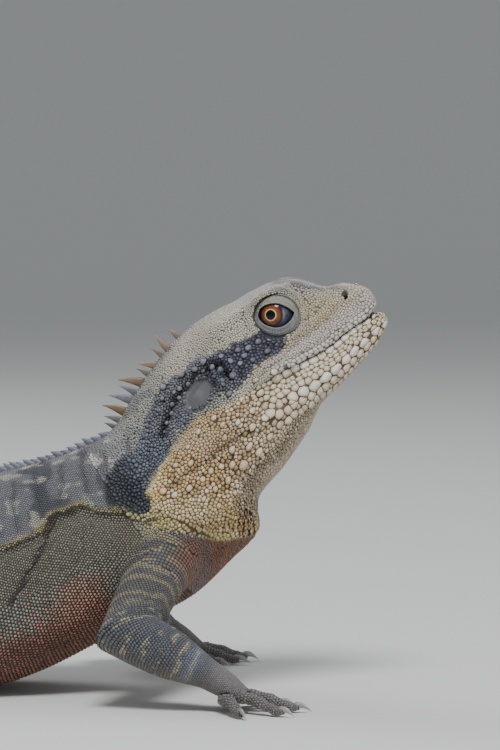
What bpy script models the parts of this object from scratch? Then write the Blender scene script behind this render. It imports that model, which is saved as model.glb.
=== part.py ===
"""Eastern water dragon, an adult male, life size, as a still museum model.

The body is one long loft from the snout to the tip of the tail, cut square across into named
parts that keep a thin gap. Each limb is a loft of its own whose root is cut to the body's side.
All sizes are in millimetres until the last step, which moves the origin to the middle of the
footprint and scales the model to metres.
"""

import math

import bmesh
import bpy
import numpy as np
from mathutils import Matrix, Vector

# Driving dimensions, in millimetres
GAP = 0.3                   # between parts that touch
FLOOR = 0.0
HEAD_PITCH = math.radians(31.3)
HEAD_ROLL = math.radians(3.0)
MOUTH_FRONT = (109.5, 109.0)   # x and z where the mouth line meets the snout
TAIL_LENGTH = 520.0
EYE_RADIUS = 6.0
LID_RADIUS = 7.1
EYE_OUT = 9.2               # eyeball's centre from the middle of the head
EYE_AT = (25.0, 15.9)       # behind the mouth's front, above the mouth line
EYE_OPENING = (10.2, 7.0)
EAR_AT = (55.7, 8.1)
EAR_SIZE = (11.6, 7.6)
EAR_TURN = math.radians(-50)
EAR_STAND = 0.9         # how far outside the skin the cup's middle is
EAR_DEPTH = 2.2
NOSTRIL_AT = (5.3, 10.2)
NOSTRIL_RADIUS = 0.9
MOUTH_CORNER = 35.0
MOUTH_GROOVE = 0.9
CRANIUM_ROUND = 0.62        # share of the way to the brow where the crown bends

# Front of the snout on the middle line, from the nose down over the mouth to the chin
SNOUT = [(0.8, 10.8), (-0.3, 9.8), (-1.1, 8.8), (-1.7, 7.6), (-2.05, 6.2), (-2.0, 4.4), (-1.3, 2.5),
         (0.9, 1.2), (-1.6, -0.3), (-2.0, -2.0), (-1.3, -3.6), (0.3, -4.9), (1.6, -5.7)]

# Head sections: behind the mouth's front; midline top; brow out, brow up; out at eye level;
# lip out; mouth line up; jaw side out; jaw edge out, jaw edge down; throat down
HEAD = [
    (3.5, 13.1, 5.6, 12.2, 7.6, 8.2, 0.9, 7.6, 5.9, 6.0, 6.9),
    (9.0, 15.2, 7.4, 14.4, 9.3, 10.9, 0.7, 10.2, 8.0, 7.8, 8.9),
    (12.0, 18.0, 8.8, 17.9, 10.0, 12.2, 0.4, 11.4, 9.1, 8.5, 9.8),
    (15.0, 21.1, 10.2, 20.9, 10.6, 13.4, 0.0, 12.6, 10.2, 9.3, 10.7),
    (20.0, 23.4, 12.6, 23.0, 11.4, 15.2, -0.7, 14.8, 12.1, 10.4, 11.9),
    (26.5, 24.4, 14.4, 23.8, 12.4, 17.2, -0.9, 17.2, 14.4, 11.5, 13.2),
    (34.0, 25.0, 14.4, 23.4, 15.0, 18.8, -0.3, 19.6, 16.4, 14.2, 18.2),
    (42.0, 25.8, 14.2, 22.8, 17.6, 20.9, 0.0, 21.8, 17.2, 17.6, 22.0),
]

# Neck and trunk sections: back x, z; belly x, z; half width; height of the widest place as a
# share from belly to back; squareness above and below
TRUNK = [
    (53.7, 104.6, 82.3, 64.6, 23.6, 0.42, 1.7, 2.9),
    (46.0, 96.4, 75.2, 55.8, 23.4, 0.38, 1.7, 3.2),
    (38.6, 85.8, 75.2, 46.5, 22.6, 0.38, 1.8, 2.8),
    (31.9, 75.4, 67.0, 37.2, 23.0, 0.42, 1.8, 2.3),
    (23.6, 70.8, 56.0, 27.0, 26.0, 0.45, 1.8, 2.2),
    (12.0, 66.5, 36.0, 17.4, 28.0, 0.46, 1.8, 2.3),
    (-1.0, 63.4, 12.0, 5.4, 29.4, 0.44, 1.8, 2.5),
    (-14.0, 59.8, -8.0, -0.6, 30.6, 0.42, 1.8, 2.6),
    (-33.0, 53.2, -31.0, -1.0, 30.8, 0.40, 1.8, 2.6),
    (-54.0, 44.8, -54.0, -1.0, 27.6, 0.40, 1.8, 2.6),
    (-72.0, 37.8, -73.0, -1.0, 22.6, 0.42, 1.9, 2.5),
    (-86.0, 34.2, -87.0, -0.8, 18.8, 0.45, 1.9, 2.4),
    (-99.0, 32.0, -99.5, -0.6, 16.4, 0.47, 1.9, 2.3),
]

# Tail sections: length from the vent; half width; height; and the heading's turn in degrees
TAIL = [
    (0.0, 16.4, 32.4, 0.0),
    (26.0, 13.6, 29.6, -3.0),
    (60.0, 11.8, 26.6, -10.0),
    (110.0, 9.6, 22.4, -24.0),
    (180.0, 7.4, 17.0, -34.0),
    (270.0, 5.4, 11.8, -12.0),
    (360.0, 3.7, 7.8, 24.0),
    (450.0, 2.3, 4.8, 52.0),
    (505.0, 1.3, 2.7, 66.0),
    (520.0, 0.55, 1.2, 70.0),
]

# Skin fold along the back edge of the jowl, as points behind and above the mouth's front
JOWL_FOLD = [(58.8, 2.5), (68.5, -1.1), (76.7, -4.6), (83.7, -8.8), (84.0, -16.5), (80.0, -24.0),
             (71.2, -31.7), (60.8, -36.0)]
# The rest of the jowl's outline, ahead of the fold
JOWL_FRONT = [(40.0, -70.0), (0.0, -71.0), (0.0, 30.0), (50.0, 29.0)]
JOWL_STAND = 3.0            # how far the jowl stands out from the neck behind it
FOLD_WIDTH = 8.0

GUIDES = 13                 # named lines along one side, from the back to the belly

# Limbs: root, middle joint and last joint, with half width and half thickness at the root,
# half way and end of each of the two lengths, then the paw's heading in degrees
ARM_R = {"joints": [(51, -12, 44), (38, -45, 21.5), (60.5, -47.5, 10.5)],
         "upper": ([11.0, 9.2, 7.8], [11.0, 9.4, 8.0]), "lower": ([7.8, 7.4, 5.2], [8.0, 7.4, 4.6]),
         "heading": -6.0}
ARM_L = {"joints": [(51, 12, 44), (31, 45, 21.5), (47, 54, 10.5)],
         "upper": ([11.0, 9.2, 7.8], [11.0, 9.4, 8.0]), "lower": ([7.8, 7.4, 5.2], [8.0, 7.4, 4.6]),
         "heading": 16.0}
LEG_R = {"joints": [(-84, -8, 19), (-59, -51, 19), (-92, -62, 7.5)],
         "upper": ([14.5, 12.6, 9.4], [13.5, 12.8, 9.6]), "lower": ([9.4, 9.0, 5.6], [9.6, 9.2, 5.4]),
         "heading": -21.0, "heel": 5.0}
LEG_L = {"joints": [(-84, 8, 19), (-65, 51, 19), (-98, 63, 7.5)],
         "upper": ([14.5, 12.6, 9.4], [13.5, 12.8, 9.6]), "lower": ([9.4, 9.0, 5.6], [9.6, 9.2, 5.4]),
         "heading": 25.0, "heel": 5.0}
# Digits from the inner one out: turn away from the paw's heading, length, place across the palm
FINGERS = [(40, 8.0, 0.9), (17, 12.5, 0.5), (-3, 15.5, 0.0), (-26, 15.0, -0.5), (-62, 10.0, -0.9)]
TOES = [(20, 11.0, 0.9), (10, 19.0, 0.5), (1, 28.0, 0.1), (-9, 39.0, -0.4), (-48, 21.0, -0.9)]
HAND = {"palm": 10.5, "wide": 6.4, "thick": 3.4, "digit": 2.05, "claw": 4.6, "digits": FINGERS}
FOOT = {"palm": 23.0, "wide": 6.6, "thick": 4.0, "digit": 2.35, "claw": 5.0, "digits": TOES}

# Crest spines on the nape: x and z of the root, then how far the tip is from it
NAPE = [(52.5, 101.7, -3.2, 2.0), (49.0, 98.8, -3.6, 3.5), (46.8, 97.3, -3.1, 2.0),
        (44.3, 94.7, -4.8, -0.2), (43.0, 91.7, -3.2, 1.5), (41.7, 89.1, -6.9, 0.4),
        (38.7, 86.5, -4.5, 1.9), (36.8, 84.7, -6.2, 1.1), (34.6, 81.4, -5.9, 1.8),
        (33.2, 79.1, -4.1, 0.9), (32.4, 76.9, -2.8, 0.9)]
BACK_SPINE = (2.9, 3.8)     # height and spacing
TAIL_SPINE = (2.6, 6.0)

SLATE = (0.16, 0.17, 0.19)
TAN = (0.38, 0.31, 0.22)
RUST = (0.30, 0.12, 0.07)


def smooth(knots, values, t):
    """Values at t, along a cubic through the knots that keeps each knot's mean slope."""
    k = np.asarray(knots, float)
    v = np.asarray(values, float)
    t = np.clip(np.asarray(t, float), k[0], k[-1])
    d = (v[1:] - v[:-1]) / (k[1:] - k[:-1]).reshape(-1, *([1] * (v.ndim - 1)))
    m = np.concatenate([d[:1], (d[1:] + d[:-1]) / 2, d[-1:]])
    i = np.clip(np.searchsorted(k, t, side="right") - 1, 0, len(k) - 2)
    h = (k[i + 1] - k[i])
    u = ((t - k[i]) / h).reshape(*t.shape, *([1] * (v.ndim - 1)))
    h = h.reshape(u.shape)
    return ((2 * u**3 - 3 * u**2 + 1) * v[i] + (u**3 - 2 * u**2 + u) * h * m[i]
            + (3 * u**2 - 2 * u**3) * v[i + 1] + (u**3 - u**2) * h * m[i + 1])


def blend(low, high, x):
    """0 below low, 1 above high, and a smooth step between."""
    u = np.clip((np.asarray(x, float) - low) / (high - low), 0, 1)
    return u * u * (3 - 2 * u)


def head_point(a, b, c):
    """A point a behind, b to the left of and c above the mouth's front, in the world."""
    b, c = b * np.cos(HEAD_ROLL) - c * np.sin(HEAD_ROLL), c * np.cos(HEAD_ROLL) + b * np.sin(HEAD_ROLL)
    x = MOUTH_FRONT[0] - a * math.cos(HEAD_PITCH) - c * math.sin(HEAD_PITCH)
    z = MOUTH_FRONT[1] - a * math.sin(HEAD_PITCH) + c * math.cos(HEAD_PITCH)
    return np.stack(np.broadcast_arrays(x, b, z), -1)


def unrolled(p):
    """The (a, b, c) that head_point turns into p."""
    a, b, c = head_place(p)
    cosine, sine = math.cos(HEAD_ROLL), math.sin(HEAD_ROLL)
    return a, b * cosine + c * sine, c * cosine - b * sine


def head_place(p):
    """How far world points are behind, beside and above the mouth's front, in the pitched head's axes."""
    dx = p[..., 0] - MOUTH_FRONT[0]
    dz = p[..., 2] - MOUTH_FRONT[1]
    a = -dx * math.cos(HEAD_PITCH) - dz * math.sin(HEAD_PITCH)
    c = -dx * math.sin(HEAD_PITCH) + dz * math.cos(HEAD_PITCH)
    return a, p[..., 1], c


def head_guides(row, side):
    """One side's guide points of a head section, from the crown down to the throat."""
    a, top, brow_b, brow_c, eye_b, lip_b, mouth, jaw_b, edge_b, edge_c, throat = row
    eye_c = mouth + (brow_c - mouth) * 0.62
    groove = MOUTH_GROOVE * (1 - blend(MOUTH_CORNER - 7, MOUTH_CORNER, a))
    line = [
        (0, top),
        (brow_b * CRANIUM_ROUND, top + (brow_c - top) * 0.35),
        (brow_b, brow_c),
        ((brow_b + eye_b) / 2 + 0.1, brow_c * 0.55 + eye_c * 0.45),
        (eye_b, eye_c),
        (eye_b + (lip_b - eye_b) * 0.55, mouth + (eye_c - mouth) * 0.52),
        (lip_b, mouth + (eye_c - mouth) * 0.17),
        (lip_b * 0.98 - groove, mouth),
        (lip_b * 0.97, mouth - (edge_c + mouth) * 0.22),
        (jaw_b, mouth - (edge_c + mouth) * 0.58),
        (edge_b, -edge_c),
        (edge_b * 0.52, -edge_c - (throat - edge_c) * 0.80),
        (0, -throat),
    ]
    return np.array([head_point(a, side * b, c) for b, c in line])


# The guides' places along the last head section, from 0 on the back to 1 at the throat
HEAD_STEPS = np.linalg.norm(np.diff(head_guides(HEAD[-1], 1), axis=0), axis=1)
HEAD_SPREAD = np.concatenate([[0], np.cumsum(HEAD_STEPS)]) / HEAD_STEPS.sum()


def snout_guides(side, t):
    """Guide points part of the way round from the snout's middle line (0) to the first head section (1)."""
    full = head_guides(HEAD[0], side)
    a, b, c = unrolled(full)
    start = np.array(SNOUT)
    turn = 1 - math.cos(t * math.pi / 2)
    return head_point(start[:, 0] + (a - start[:, 0]) * turn, b * math.sin(t * math.pi / 2),
                      start[:, 1] + (c - start[:, 1]) * turn)


def oval_guides(back, belly, half_width, widest, above, below, like_head=0.0):
    """Guide points of a body section that hangs between the back line and the belly line."""
    angle = np.linspace(math.pi / 2, -math.pi / 2, 16 * GUIDES)
    power = np.where(angle > 0, 2 / above, 2 / below)
    out = half_width * np.abs(np.cos(angle)) ** power
    rise = np.sign(np.sin(angle)) * np.abs(np.sin(angle)) ** power
    share = np.where(rise > 0, widest + (1 - widest) * rise, widest * (1 + rise))
    steps = np.hypot(np.diff(share) * np.linalg.norm(back - belly), np.diff(out))
    length = np.concatenate([[0], np.cumsum(steps)])
    at = length[-1] * (np.linspace(0, 1, GUIDES) * (1 - like_head) + HEAD_SPREAD * like_head)
    share, out = np.interp(at, length, share), np.interp(at, length, out)
    return belly + (back - belly) * share[:, None], out


def tail_line():
    """Places and headings along the middle of the tail, one each millimetre."""
    s = np.arange(0, TAIL_LENGTH + 1)
    turn = np.radians(smooth([r[0] for r in TAIL], [r[3] for r in TAIL], s))
    x = TRUNK[-1][0] - np.concatenate([[0], np.cumsum(np.cos(turn[1:]))])
    y = -np.concatenate([[0], np.cumsum(np.sin(turn[1:]))])
    return s, x, y, turn


def body_stations():
    """Stations from the snout to the tail's tip: length along the body, and the right and left guides."""
    stations = [(HEAD[0][0] - 6 * (1 - t), snout_guides(-1, t), snout_guides(1, t))
                for t in (0, 0.25, 0.5, 0.75)]
    stations += [(row[0], head_guides(row, -1), head_guides(row, 1)) for row in HEAD]
    at = HEAD[-1][0]
    middle = stations[-1][1][[0, -1]].mean(0)
    for number, (bx, bz, vx, vz, w, widest, above, below) in enumerate(TRUNK):
        back, belly = np.array([bx, 0, bz]), np.array([vx, 0, vz])
        line, out = oval_guides(back, belly, w, widest, above, below, max(0.0, 1 - number / 4))
        here = (back + belly) / 2
        at += np.linalg.norm(here - middle)
        middle = here
        side = np.array([0, 1, 0])
        stations.append((at, line - out[:, None] * side, line + out[:, None] * side))
    s, x, y, turn = tail_line()
    for length, w, height, _ in TAIL[1:]:
        i = int(length)
        across = np.array([-math.sin(turn[i]), math.cos(turn[i]), 0])
        back, belly = np.array([x[i], y[i], height - 0.5]), np.array([x[i], y[i], -0.5])
        line, out = oval_guides(back, belly, w, 0.46, 1.9, 2.3)
        stations.append((at + length, line - out[:, None] * across, line + out[:, None] * across))
    return stations


STATIONS = body_stations()
KNOTS = np.array([s[0] for s in STATIONS])
RIGHT = np.array([s[1] for s in STATIONS])
LEFT = np.array([s[2] for s in STATIONS])
FIRST = len(HEAD) + 4           # number of the first trunk section
VENT = KNOTS[FIRST + len(TRUNK) - 1]


def fold_side(a, c):
    """Distance in front of the jowl's fold: positive on the jowl, negative behind it."""
    off = np.full(a.shape, 1e9)
    for p, q in zip(JOWL_FOLD[:-1], JOWL_FOLD[1:]):
        da, dc = q[0] - p[0], q[1] - p[1]
        t = np.clip(((a - p[0]) * da + (c - p[1]) * dc) / (da * da + dc * dc), 0, 1)
        off = np.minimum(off, np.hypot(a - p[0] - t * da, c - p[1] - t * dc))
    inside = np.zeros(a.shape, bool)
    region = JOWL_FOLD + JOWL_FRONT
    for p, q in zip(region, region[1:] + region[:1]):
        crosses = (p[1] > c) != (q[1] > c)
        inside ^= crosses & (a < p[0] + (c - p[1]) * (q[0] - p[0]) / (q[1] - p[1]))
    return np.where(inside, off, -off)


def relief(p, out):
    """Skin folds on the body's surface: p moved along the outward directions."""
    a, b, c = head_place(p)
    ahead = fold_side(a, c)
    fade = blend(57, 75, a) * blend(4.0, 13.0, np.abs(b)) * (1 - blend(95, 103, a))
    jowl = JOWL_STAND * blend(-FOLD_WIDTH / 2, FOLD_WIDTH / 2, ahead) * (1 - blend(8, 30, ahead))
    jowl = jowl * (1 - 0.95 * blend(21, 31, -c) * blend(-4.0, 4.0, ahead)) * blend(0, 22, ahead + 22)
    behind = -0.9 * np.exp(-((ahead + 4.5) / 3.5) ** 2)
    return p + out * ((jowl + behind) * fade)[..., None]


def body_rings(start, end, step, around, extra=()):
    """Rings of the body's surface between two lengths, with `around` points each, starting at the back."""
    n = max(2, round((end - start) / step) + 1)
    s = np.unique(np.concatenate([np.linspace(start, end, n), [e for e in extra if start < e < end]]))
    right, left = smooth(KNOTS, RIGHT, s), smooth(KNOTS, LEFT, s)
    half = around // 2
    v = np.linspace(0, GUIDES - 1, half + 1)
    right = np.swapaxes(smooth(np.arange(GUIDES), np.swapaxes(right, 0, 1), v), 0, 1)
    left = np.swapaxes(smooth(np.arange(GUIDES), np.swapaxes(left, 0, 1), v), 0, 1)
    rings = np.concatenate([right, left[:, -2:0:-1]], 1)
    return s, rings


def folded_rings(start, end, step, around, extra=()):
    """Rings with the skin's folds on them."""
    ends = (start, end)
    start, end = max(start - 0.4, KNOTS[0]), min(end + 0.4, KNOTS[-1])
    s, rings = body_rings(start, end, step, around, tuple(extra) + ends)
    rings = relief(rings, outward(rings))
    keep = (s >= ends[0] - 1e-6) & (s <= ends[1] + 1e-6)
    spaced = np.concatenate([[True], np.diff(s) > 0.25 * step]) | np.isin(s, ends + tuple(extra))
    return rings[keep & spaced]


def outward(rings):
    """Unit directions out of the surface of a stack of rings."""
    around = np.roll(rings, -1, 1) - np.roll(rings, 1, 1)
    along = np.gradient(rings, axis=0)
    n = np.cross(along, around)
    n /= np.maximum(np.linalg.norm(n, axis=-1, keepdims=True), 1e-9)
    middle = rings.mean(1, keepdims=True)
    flip = np.sign(np.sum(n * (rings - middle), -1).sum())
    return n * flip


def mesh_object(name, points, faces, material=None):
    """A new mesh object whose faces point outwards."""
    mesh = bpy.data.meshes.new(name)
    mesh.from_pydata([tuple(map(float, p)) for p in points], [], faces)
    bm = bmesh.new()
    bm.from_mesh(mesh)
    bmesh.ops.remove_doubles(bm, verts=bm.verts, dist=0.0005)
    bmesh.ops.recalc_face_normals(bm, faces=bm.faces)
    bm.to_mesh(mesh)
    bm.free()
    obj = bpy.data.objects.new(name, mesh)
    bpy.context.scene.collection.objects.link(obj)
    if material:
        mesh.materials.append(material)
    return obj


def tube(name, rings, material=None, ends=("flat", "flat")):
    """A closed solid through a stack of rings; an end closed to a seam needs no cap."""
    count, around = rings.shape[:2]
    points = list(rings.reshape(-1, 3))
    faces = []
    for i in range(count - 1):
        for j in range(around):
            k = (j + 1) % around
            p, q, r, s = i * around + j, i * around + k, (i + 1) * around + k, (i + 1) * around + j
            faces += [(p, q, r), (p, r, s)]
    for end, row in zip(ends, (0, count - 1)):
        if end == "seam":
            continue
        loop = [row * around + j for j in range(around)]
        points.append(rings[row].mean(0))
        faces += [(loop[j], loop[(j + 1) % around], len(points) - 1) for j in range(around)]
    return mesh_object(name, points, faces, material)


def body_part(name, start, end, step, around, material, extra=()):
    """One length of the body as a closed solid, half a gap short at each end."""
    rings = folded_rings(start + GAP / 2, end - GAP / 2, step, around, extra)
    rings[..., 2] = np.maximum(rings[..., 2], FLOOR)
    return tube(name, rings, material)


def frame_along(path):
    """For points along a path: forward, across and up directions that turn with it."""
    forward = np.gradient(path, axis=0)
    forward /= np.linalg.norm(forward, axis=1, keepdims=True)
    across = np.cross(forward, (0.0, 0.0, 1.0))
    across /= np.linalg.norm(across, axis=1, keepdims=True)
    return forward, across, np.cross(across, forward)


def unit(v):
    """v at a length of one."""
    v = np.array(v, float)
    return v / np.linalg.norm(v)


def length_rings(start, end, before, after, wide, thick, around, count):
    """Rings along a straight length whose ends are mitred to the lengths before and after it."""
    start, end = np.array(start, float), np.array(end, float)
    way = unit(end - start)
    across = unit(np.cross(way, (0.0, 0.0, 1.0)))
    up = np.cross(across, way)
    angle = np.linspace(0, 2 * math.pi, around, endpoint=False)
    u = np.linspace(0, 1, count)
    w = smooth([0, 0.5, 1], wide, u)[:, None, None]
    h = smooth([0, 0.5, 1], thick, u)[:, None, None]
    radial = across * np.cos(angle)[None, :, None] * w + up * np.sin(angle)[None, :, None] * h
    u = u[:, None]
    shift = np.zeros(radial.shape[:2])
    for other, strength, sign in ((before, (1 - u) ** 2, 1), (after, u ** 2, -1)):
        if other is None:
            continue
        half_turn = math.acos(np.clip(way @ other, -1, 1)) / 2
        if half_turn > 0.05:
            corner = unit((other - way) * sign)
            excess = 1 - min(1.0, 1.1 * math.cos(half_turn))
            outside = np.maximum(0, radial @ corner)
            radial = radial - corner * (excess * outside * strength)[..., None]
        normal = unit(way + other)
        shift += strength * (-(radial @ normal) / (way @ normal) + sign * GAP / 2)
    return start + way * (u * np.linalg.norm(end - start))[..., None] + radial + way * shift[..., None]


def limb_ways(limb):
    """Directions of the upper length, the lower length and the paw."""
    joints = np.array(limb["joints"], float)
    start, knuckle, _, _ = paw_place(limb, HAND)
    return unit(joints[1] - joints[0]), unit(joints[2] - joints[1]), unit(knuckle - start)


def limb_part(name, limb, which, around, material):
    """The upper or the lower length of a limb as a closed solid."""
    joints = limb["joints"]
    upper, lower, paw_way = limb_ways(limb)
    if which == "upper":
        rings = length_rings(joints[0], joints[1], None, lower, *limb[which], around, 8)
    else:
        after = None if "heel" in limb else paw_way
        rings = length_rings(joints[1], joints[2], upper, after, *limb[which], around, 7)
    rings[..., 2] = np.maximum(rings[..., 2], FLOOR)
    part = tube(name, rings, material)
    if which == "lower" and "heel" in limb:
        apply_boolean(part, [tube("heel", palm_rings(limb, FOOT, GAP))], "DIFFERENCE")
        join(name, [part], material)
    return part


def palm_rings(limb, kind, grown=0.0):
    """Rings of the palm or sole, from the wrist or the rounded heel to the knuckles."""
    start, knuckle, _, _ = paw_place(limb, kind)
    heel = limb.get("heel")
    if heel:
        start = start - (knuckle - start) * heel / kind["palm"]
        start[2] = kind["thick"] + 0.6
        middle = (start + knuckle) / 2
        count = 7
        u = np.linspace(0, 1, count)
        path = start + (knuckle - start) * u[:, None]
        wide = np.interp(u, [0, 0.12, 0.3, 0.75, 1], [0.5, 0.78, 0.85, 1.0, 0.85]) * kind["wide"] + grown
        thick = np.interp(u, [0, 0.12, 0.3, 0.75, 1], [0.6, 1.05, 1.2, 0.95, 0.7]) * kind["thick"] + grown
        _, across, up = frame_along(path)
        angle = np.linspace(0, 2 * math.pi, 10, endpoint=False)
        return (path[:, None] + across[:, None] * np.cos(angle)[None, :, None] * wide[:, None, None]
                + up[:, None] * np.sin(angle)[None, :, None] * thick[:, None, None])
    wide = [limb["lower"][0][-1], kind["wide"] * 0.98, kind["wide"] * 0.82]
    thick = [limb["lower"][1][-1], kind["thick"] * 1.15, kind["thick"] * 0.75]
    return length_rings(start, knuckle, limb_ways(limb)[1], None, wide, thick, 10, 6)


def paw_place(limb, kind):
    """The wrist or ankle, the knuckles' middle, the way ahead and the way to the body's inner side."""
    mirror = 1 if limb["joints"][2][1] < 0 else -1
    heading = math.radians(limb["heading"])
    start = np.array(limb["joints"][2], float)
    ahead = np.array([math.cos(heading), math.sin(heading), 0.0])
    side = np.array([-math.sin(heading), math.cos(heading), 0.0]) * mirror
    knuckle = start + ahead * kind["palm"]
    knuckle[2] = kind["thick"] + 0.9
    return start, knuckle, ahead, side


def curved_rings(path, radii, around, flat=1.0):
    """Rings along a free path, with a radius each, squashed by flat in height."""
    path = np.array(path, float)
    _, across, up = frame_along(path)
    angle = np.linspace(0, 2 * math.pi, around, endpoint=False)
    radii = np.array(radii)[:, None, None]
    return (path[:, None] + across[:, None] * np.cos(angle)[None, :, None] * radii
            + up[:, None] * np.sin(angle)[None, :, None] * radii * flat)


def paw(name, limb, kind, material):
    """A hand or foot: palm, five digits and their claws, joined into one solid."""
    start, knuckle, ahead, side = paw_place(limb, kind)
    mirror = 1 if start[1] < 0 else -1
    heading = math.radians(limb["heading"])
    pieces = [tube(name, palm_rings(limb, kind))]
    for turn, reach, place in kind["digits"]:
        way = heading + math.radians(turn) * mirror
        out = np.array([math.cos(way), math.sin(way), 0.0])
        root = knuckle - ahead * (3.0 + abs(place) * 2.6) + side * place * kind["wide"] * 0.74
        root[2] = knuckle[2] - 0.5
        r = kind["digit"]
        bend = np.linspace(0, 1, 5)
        arch = 1.4 * np.sin(math.pi * np.minimum(1, bend * 1.15)) * min(1.4, reach / 12)
        low = root[2] + (r * 0.78 - root[2]) * blend(0, 0.75, bend)
        line = np.array([root + out * (reach + 3) * u for u in bend])
        line[:, 2] = low + arch
        radii = r * np.interp(bend, [0, 0.2, 0.8, 1], [1.05, 1.0, 0.84, 0.62])
        pieces.append(tube("digit", curved_rings(line, radii, 6, 0.95)))
        tip = line[-1] - out * 1.3
        u = np.linspace(0, 1, 3)
        hook = np.array([tip + out * kind["claw"] * 1.1 * k for k in u])
        hook[:, 2] = tip[2] + 0.9 * np.sin(math.pi * np.minimum(1, u * 1.1 + 0.1)) - (tip[2] - 0.35) * u**2
        pieces.append(tube("claw", curved_rings(hook, r * np.array([0.62, 0.42, 0.1]), 5, 1.15)))
    return join(name, pieces, material, "MANIFOLD")


def largest_body(obj):
    """Keeps an object's largest closed surface."""
    bm = bmesh.new()
    bm.from_mesh(obj.data)
    bm.faces.ensure_lookup_table()
    left, bodies = set(bm.faces), []
    while left:
        stack, body = [left.pop()], []
        while stack:
            face = stack.pop()
            body.append(face)
            for edge in face.edges:
                for other in edge.link_faces:
                    if other in left:
                        left.discard(other)
                        stack.append(other)
        bodies.append(body)
    if len(bodies) > 1:
        def size(body):
            low = np.min([v.co for f in body for v in f.verts], 0)
            return float(np.prod(np.max([v.co for f in body for v in f.verts], 0) - low))
        bodies.sort(key=size)
        bmesh.ops.delete(bm, geom=[f for body in bodies[:-1] for f in body], context="FACES")
    bm.to_mesh(obj.data)
    bm.free()
    return obj


def apply_boolean(obj, others, operation, solver="EXACT"):
    """Joins or cuts obj by a list of closed mesh objects, which are then removed."""
    group = bpy.data.collections.new("pieces")
    bpy.context.scene.collection.children.link(group)
    for other in others:
        for holder in list(other.users_collection):
            holder.objects.unlink(other)
        group.objects.link(other)
    modifier = obj.modifiers.new("join", "BOOLEAN")
    modifier.operand_type = "COLLECTION"
    modifier.collection = group
    modifier.operation = operation
    modifier.solver = solver
    bpy.context.view_layer.update()
    made = bpy.data.meshes.new_from_object(obj.evaluated_get(bpy.context.evaluated_depsgraph_get()))
    obj.modifiers.clear()
    obj.data = made
    for other in others:
        bpy.data.objects.remove(other)
    bpy.data.collections.remove(group)
    return largest_body(obj)


def join(name, pieces, material, solver="EXACT"):
    """One closed solid from pieces whose roots are sunk into the first."""
    base = pieces[0]
    if len(pieces) > 1:
        apply_boolean(base, pieces[1:], "UNION", solver)
    base.data.materials.clear()
    base.data.materials.append(material)
    for face in base.data.polygons:
        face.material_index = 0
    base.name = name
    return base


def back_line(s):
    """The crest's place and its forward and outward directions at a length along the body."""
    at = np.array([s - 1.0, s, s + 1.0])
    back = smooth(KNOTS, RIGHT[:, 0], at)
    under = smooth(KNOTS, RIGHT[:, -1], at)
    out = back[1] - under[1]
    back_way = back[2] - back[0]
    back_way /= np.linalg.norm(back_way)
    out -= back_way * (out @ back_way)
    return back[1], back_way, out / np.linalg.norm(out)


def spine(place, back_way, out, tip, width):
    """A flat-sided, back-curved spine from its sunk root to its tip."""
    side = np.cross(back_way, out)
    rings = []
    for middle, w in ((place - out * 1.2 - tip * 0.1, 1.0), (place + tip * 0.45 + out * 0.25, 0.62)):
        rings.append([middle + back_way * w * width, middle + side * w * width * 0.5,
                      middle - back_way * w * width, middle - side * w * width * 0.5])
    points = rings[0] + rings[1] + [place + tip]
    faces = [(3, 2, 1, 0)]
    for j in range(4):
        k = (j + 1) % 4
        faces += [(j, k, 4 + k, 4 + j), (4 + j, 4 + k, 8)]
    return mesh_object("spine", points, faces)


def nape_spines(start, end):
    """The large crest spines whose places fall between two lengths."""
    made = []
    along = np.arange(HEAD[-1][0] - 10, KNOTS[FIRST + 4], 0.25)
    line = smooth(KNOTS, RIGHT[:, 0], along)
    for x, z, dx, dz in NAPE:
        s = along[np.hypot(line[:, 0] - x, line[:, 2] - z).argmin()]
        if start + 1.2 < s < end - 1.2:
            place, back_way, out = back_line(s)
            tip = np.array([dx, 0.0, dz])
            made.append(spine(place, back_way, out, tip, 0.6 + 0.14 * np.hypot(dx, dz)))
    return made


def crest_spines(start, end, first, sizes, last_scale=1.0):
    """An even row of small crest spines between two lengths."""
    made = []
    height, spacing = sizes
    s = max(first, start + 1.6)
    lean = math.radians(42)
    while s < end - 1.8:
        place, back_way, out = back_line(s)
        grow = 1 + (last_scale - 1) * (s - start) / (end - start)
        tip = (out * math.cos(lean) + back_way * math.sin(lean)) * height * grow
        made.append(spine(place, back_way, out, tip, 0.6 + 0.55 * grow))
        s += spacing
    return made


def bake_transform(obj):
    """Puts an object's turn and size into its points."""
    bpy.context.view_layer.update()
    obj.data.transform(obj.matrix_world)
    obj.matrix_world.identity()


def ball(centre, radii, segments=24, rings=14, turn=(0, 0, 0)):
    """An ellipsoid."""
    bpy.ops.mesh.primitive_uv_sphere_add(segments=segments, ring_count=rings, radius=1,
                                         location=tuple(centre))
    obj = bpy.context.object
    obj.scale = radii
    obj.rotation_euler = turn
    bake_transform(obj)
    obj.data.shade_smooth()
    return obj


def peg(start, way, radius, length, segments=12, taper=1.0):
    """A round peg along a direction, to cut a hole with."""
    way = np.array(way) / np.linalg.norm(way)
    t = np.array([0.0, length])
    path = np.array(start)[None] + way[None] * t[:, None]
    helper = np.array([0.0, 0.0, 1.0]) if abs(way[2]) < 0.9 else np.array([1.0, 0.0, 0.0])
    u = np.cross(way, helper)
    u /= np.linalg.norm(u)
    w = np.cross(way, u)
    angle = np.linspace(0, 2 * math.pi, segments, endpoint=False)
    rings = [[p + (u * math.cos(k) + w * math.sin(k)) * r for k in angle]
             for p, r in zip(path, (radius, radius * taper))]
    return tube("peg", np.array(rings))


def eye_centre(side):
    """Centre of the eyeball; side is -1 on the right and 1 on the left."""
    a, c = EYE_AT
    return head_point(a, side * EYE_OUT, c)


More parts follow.
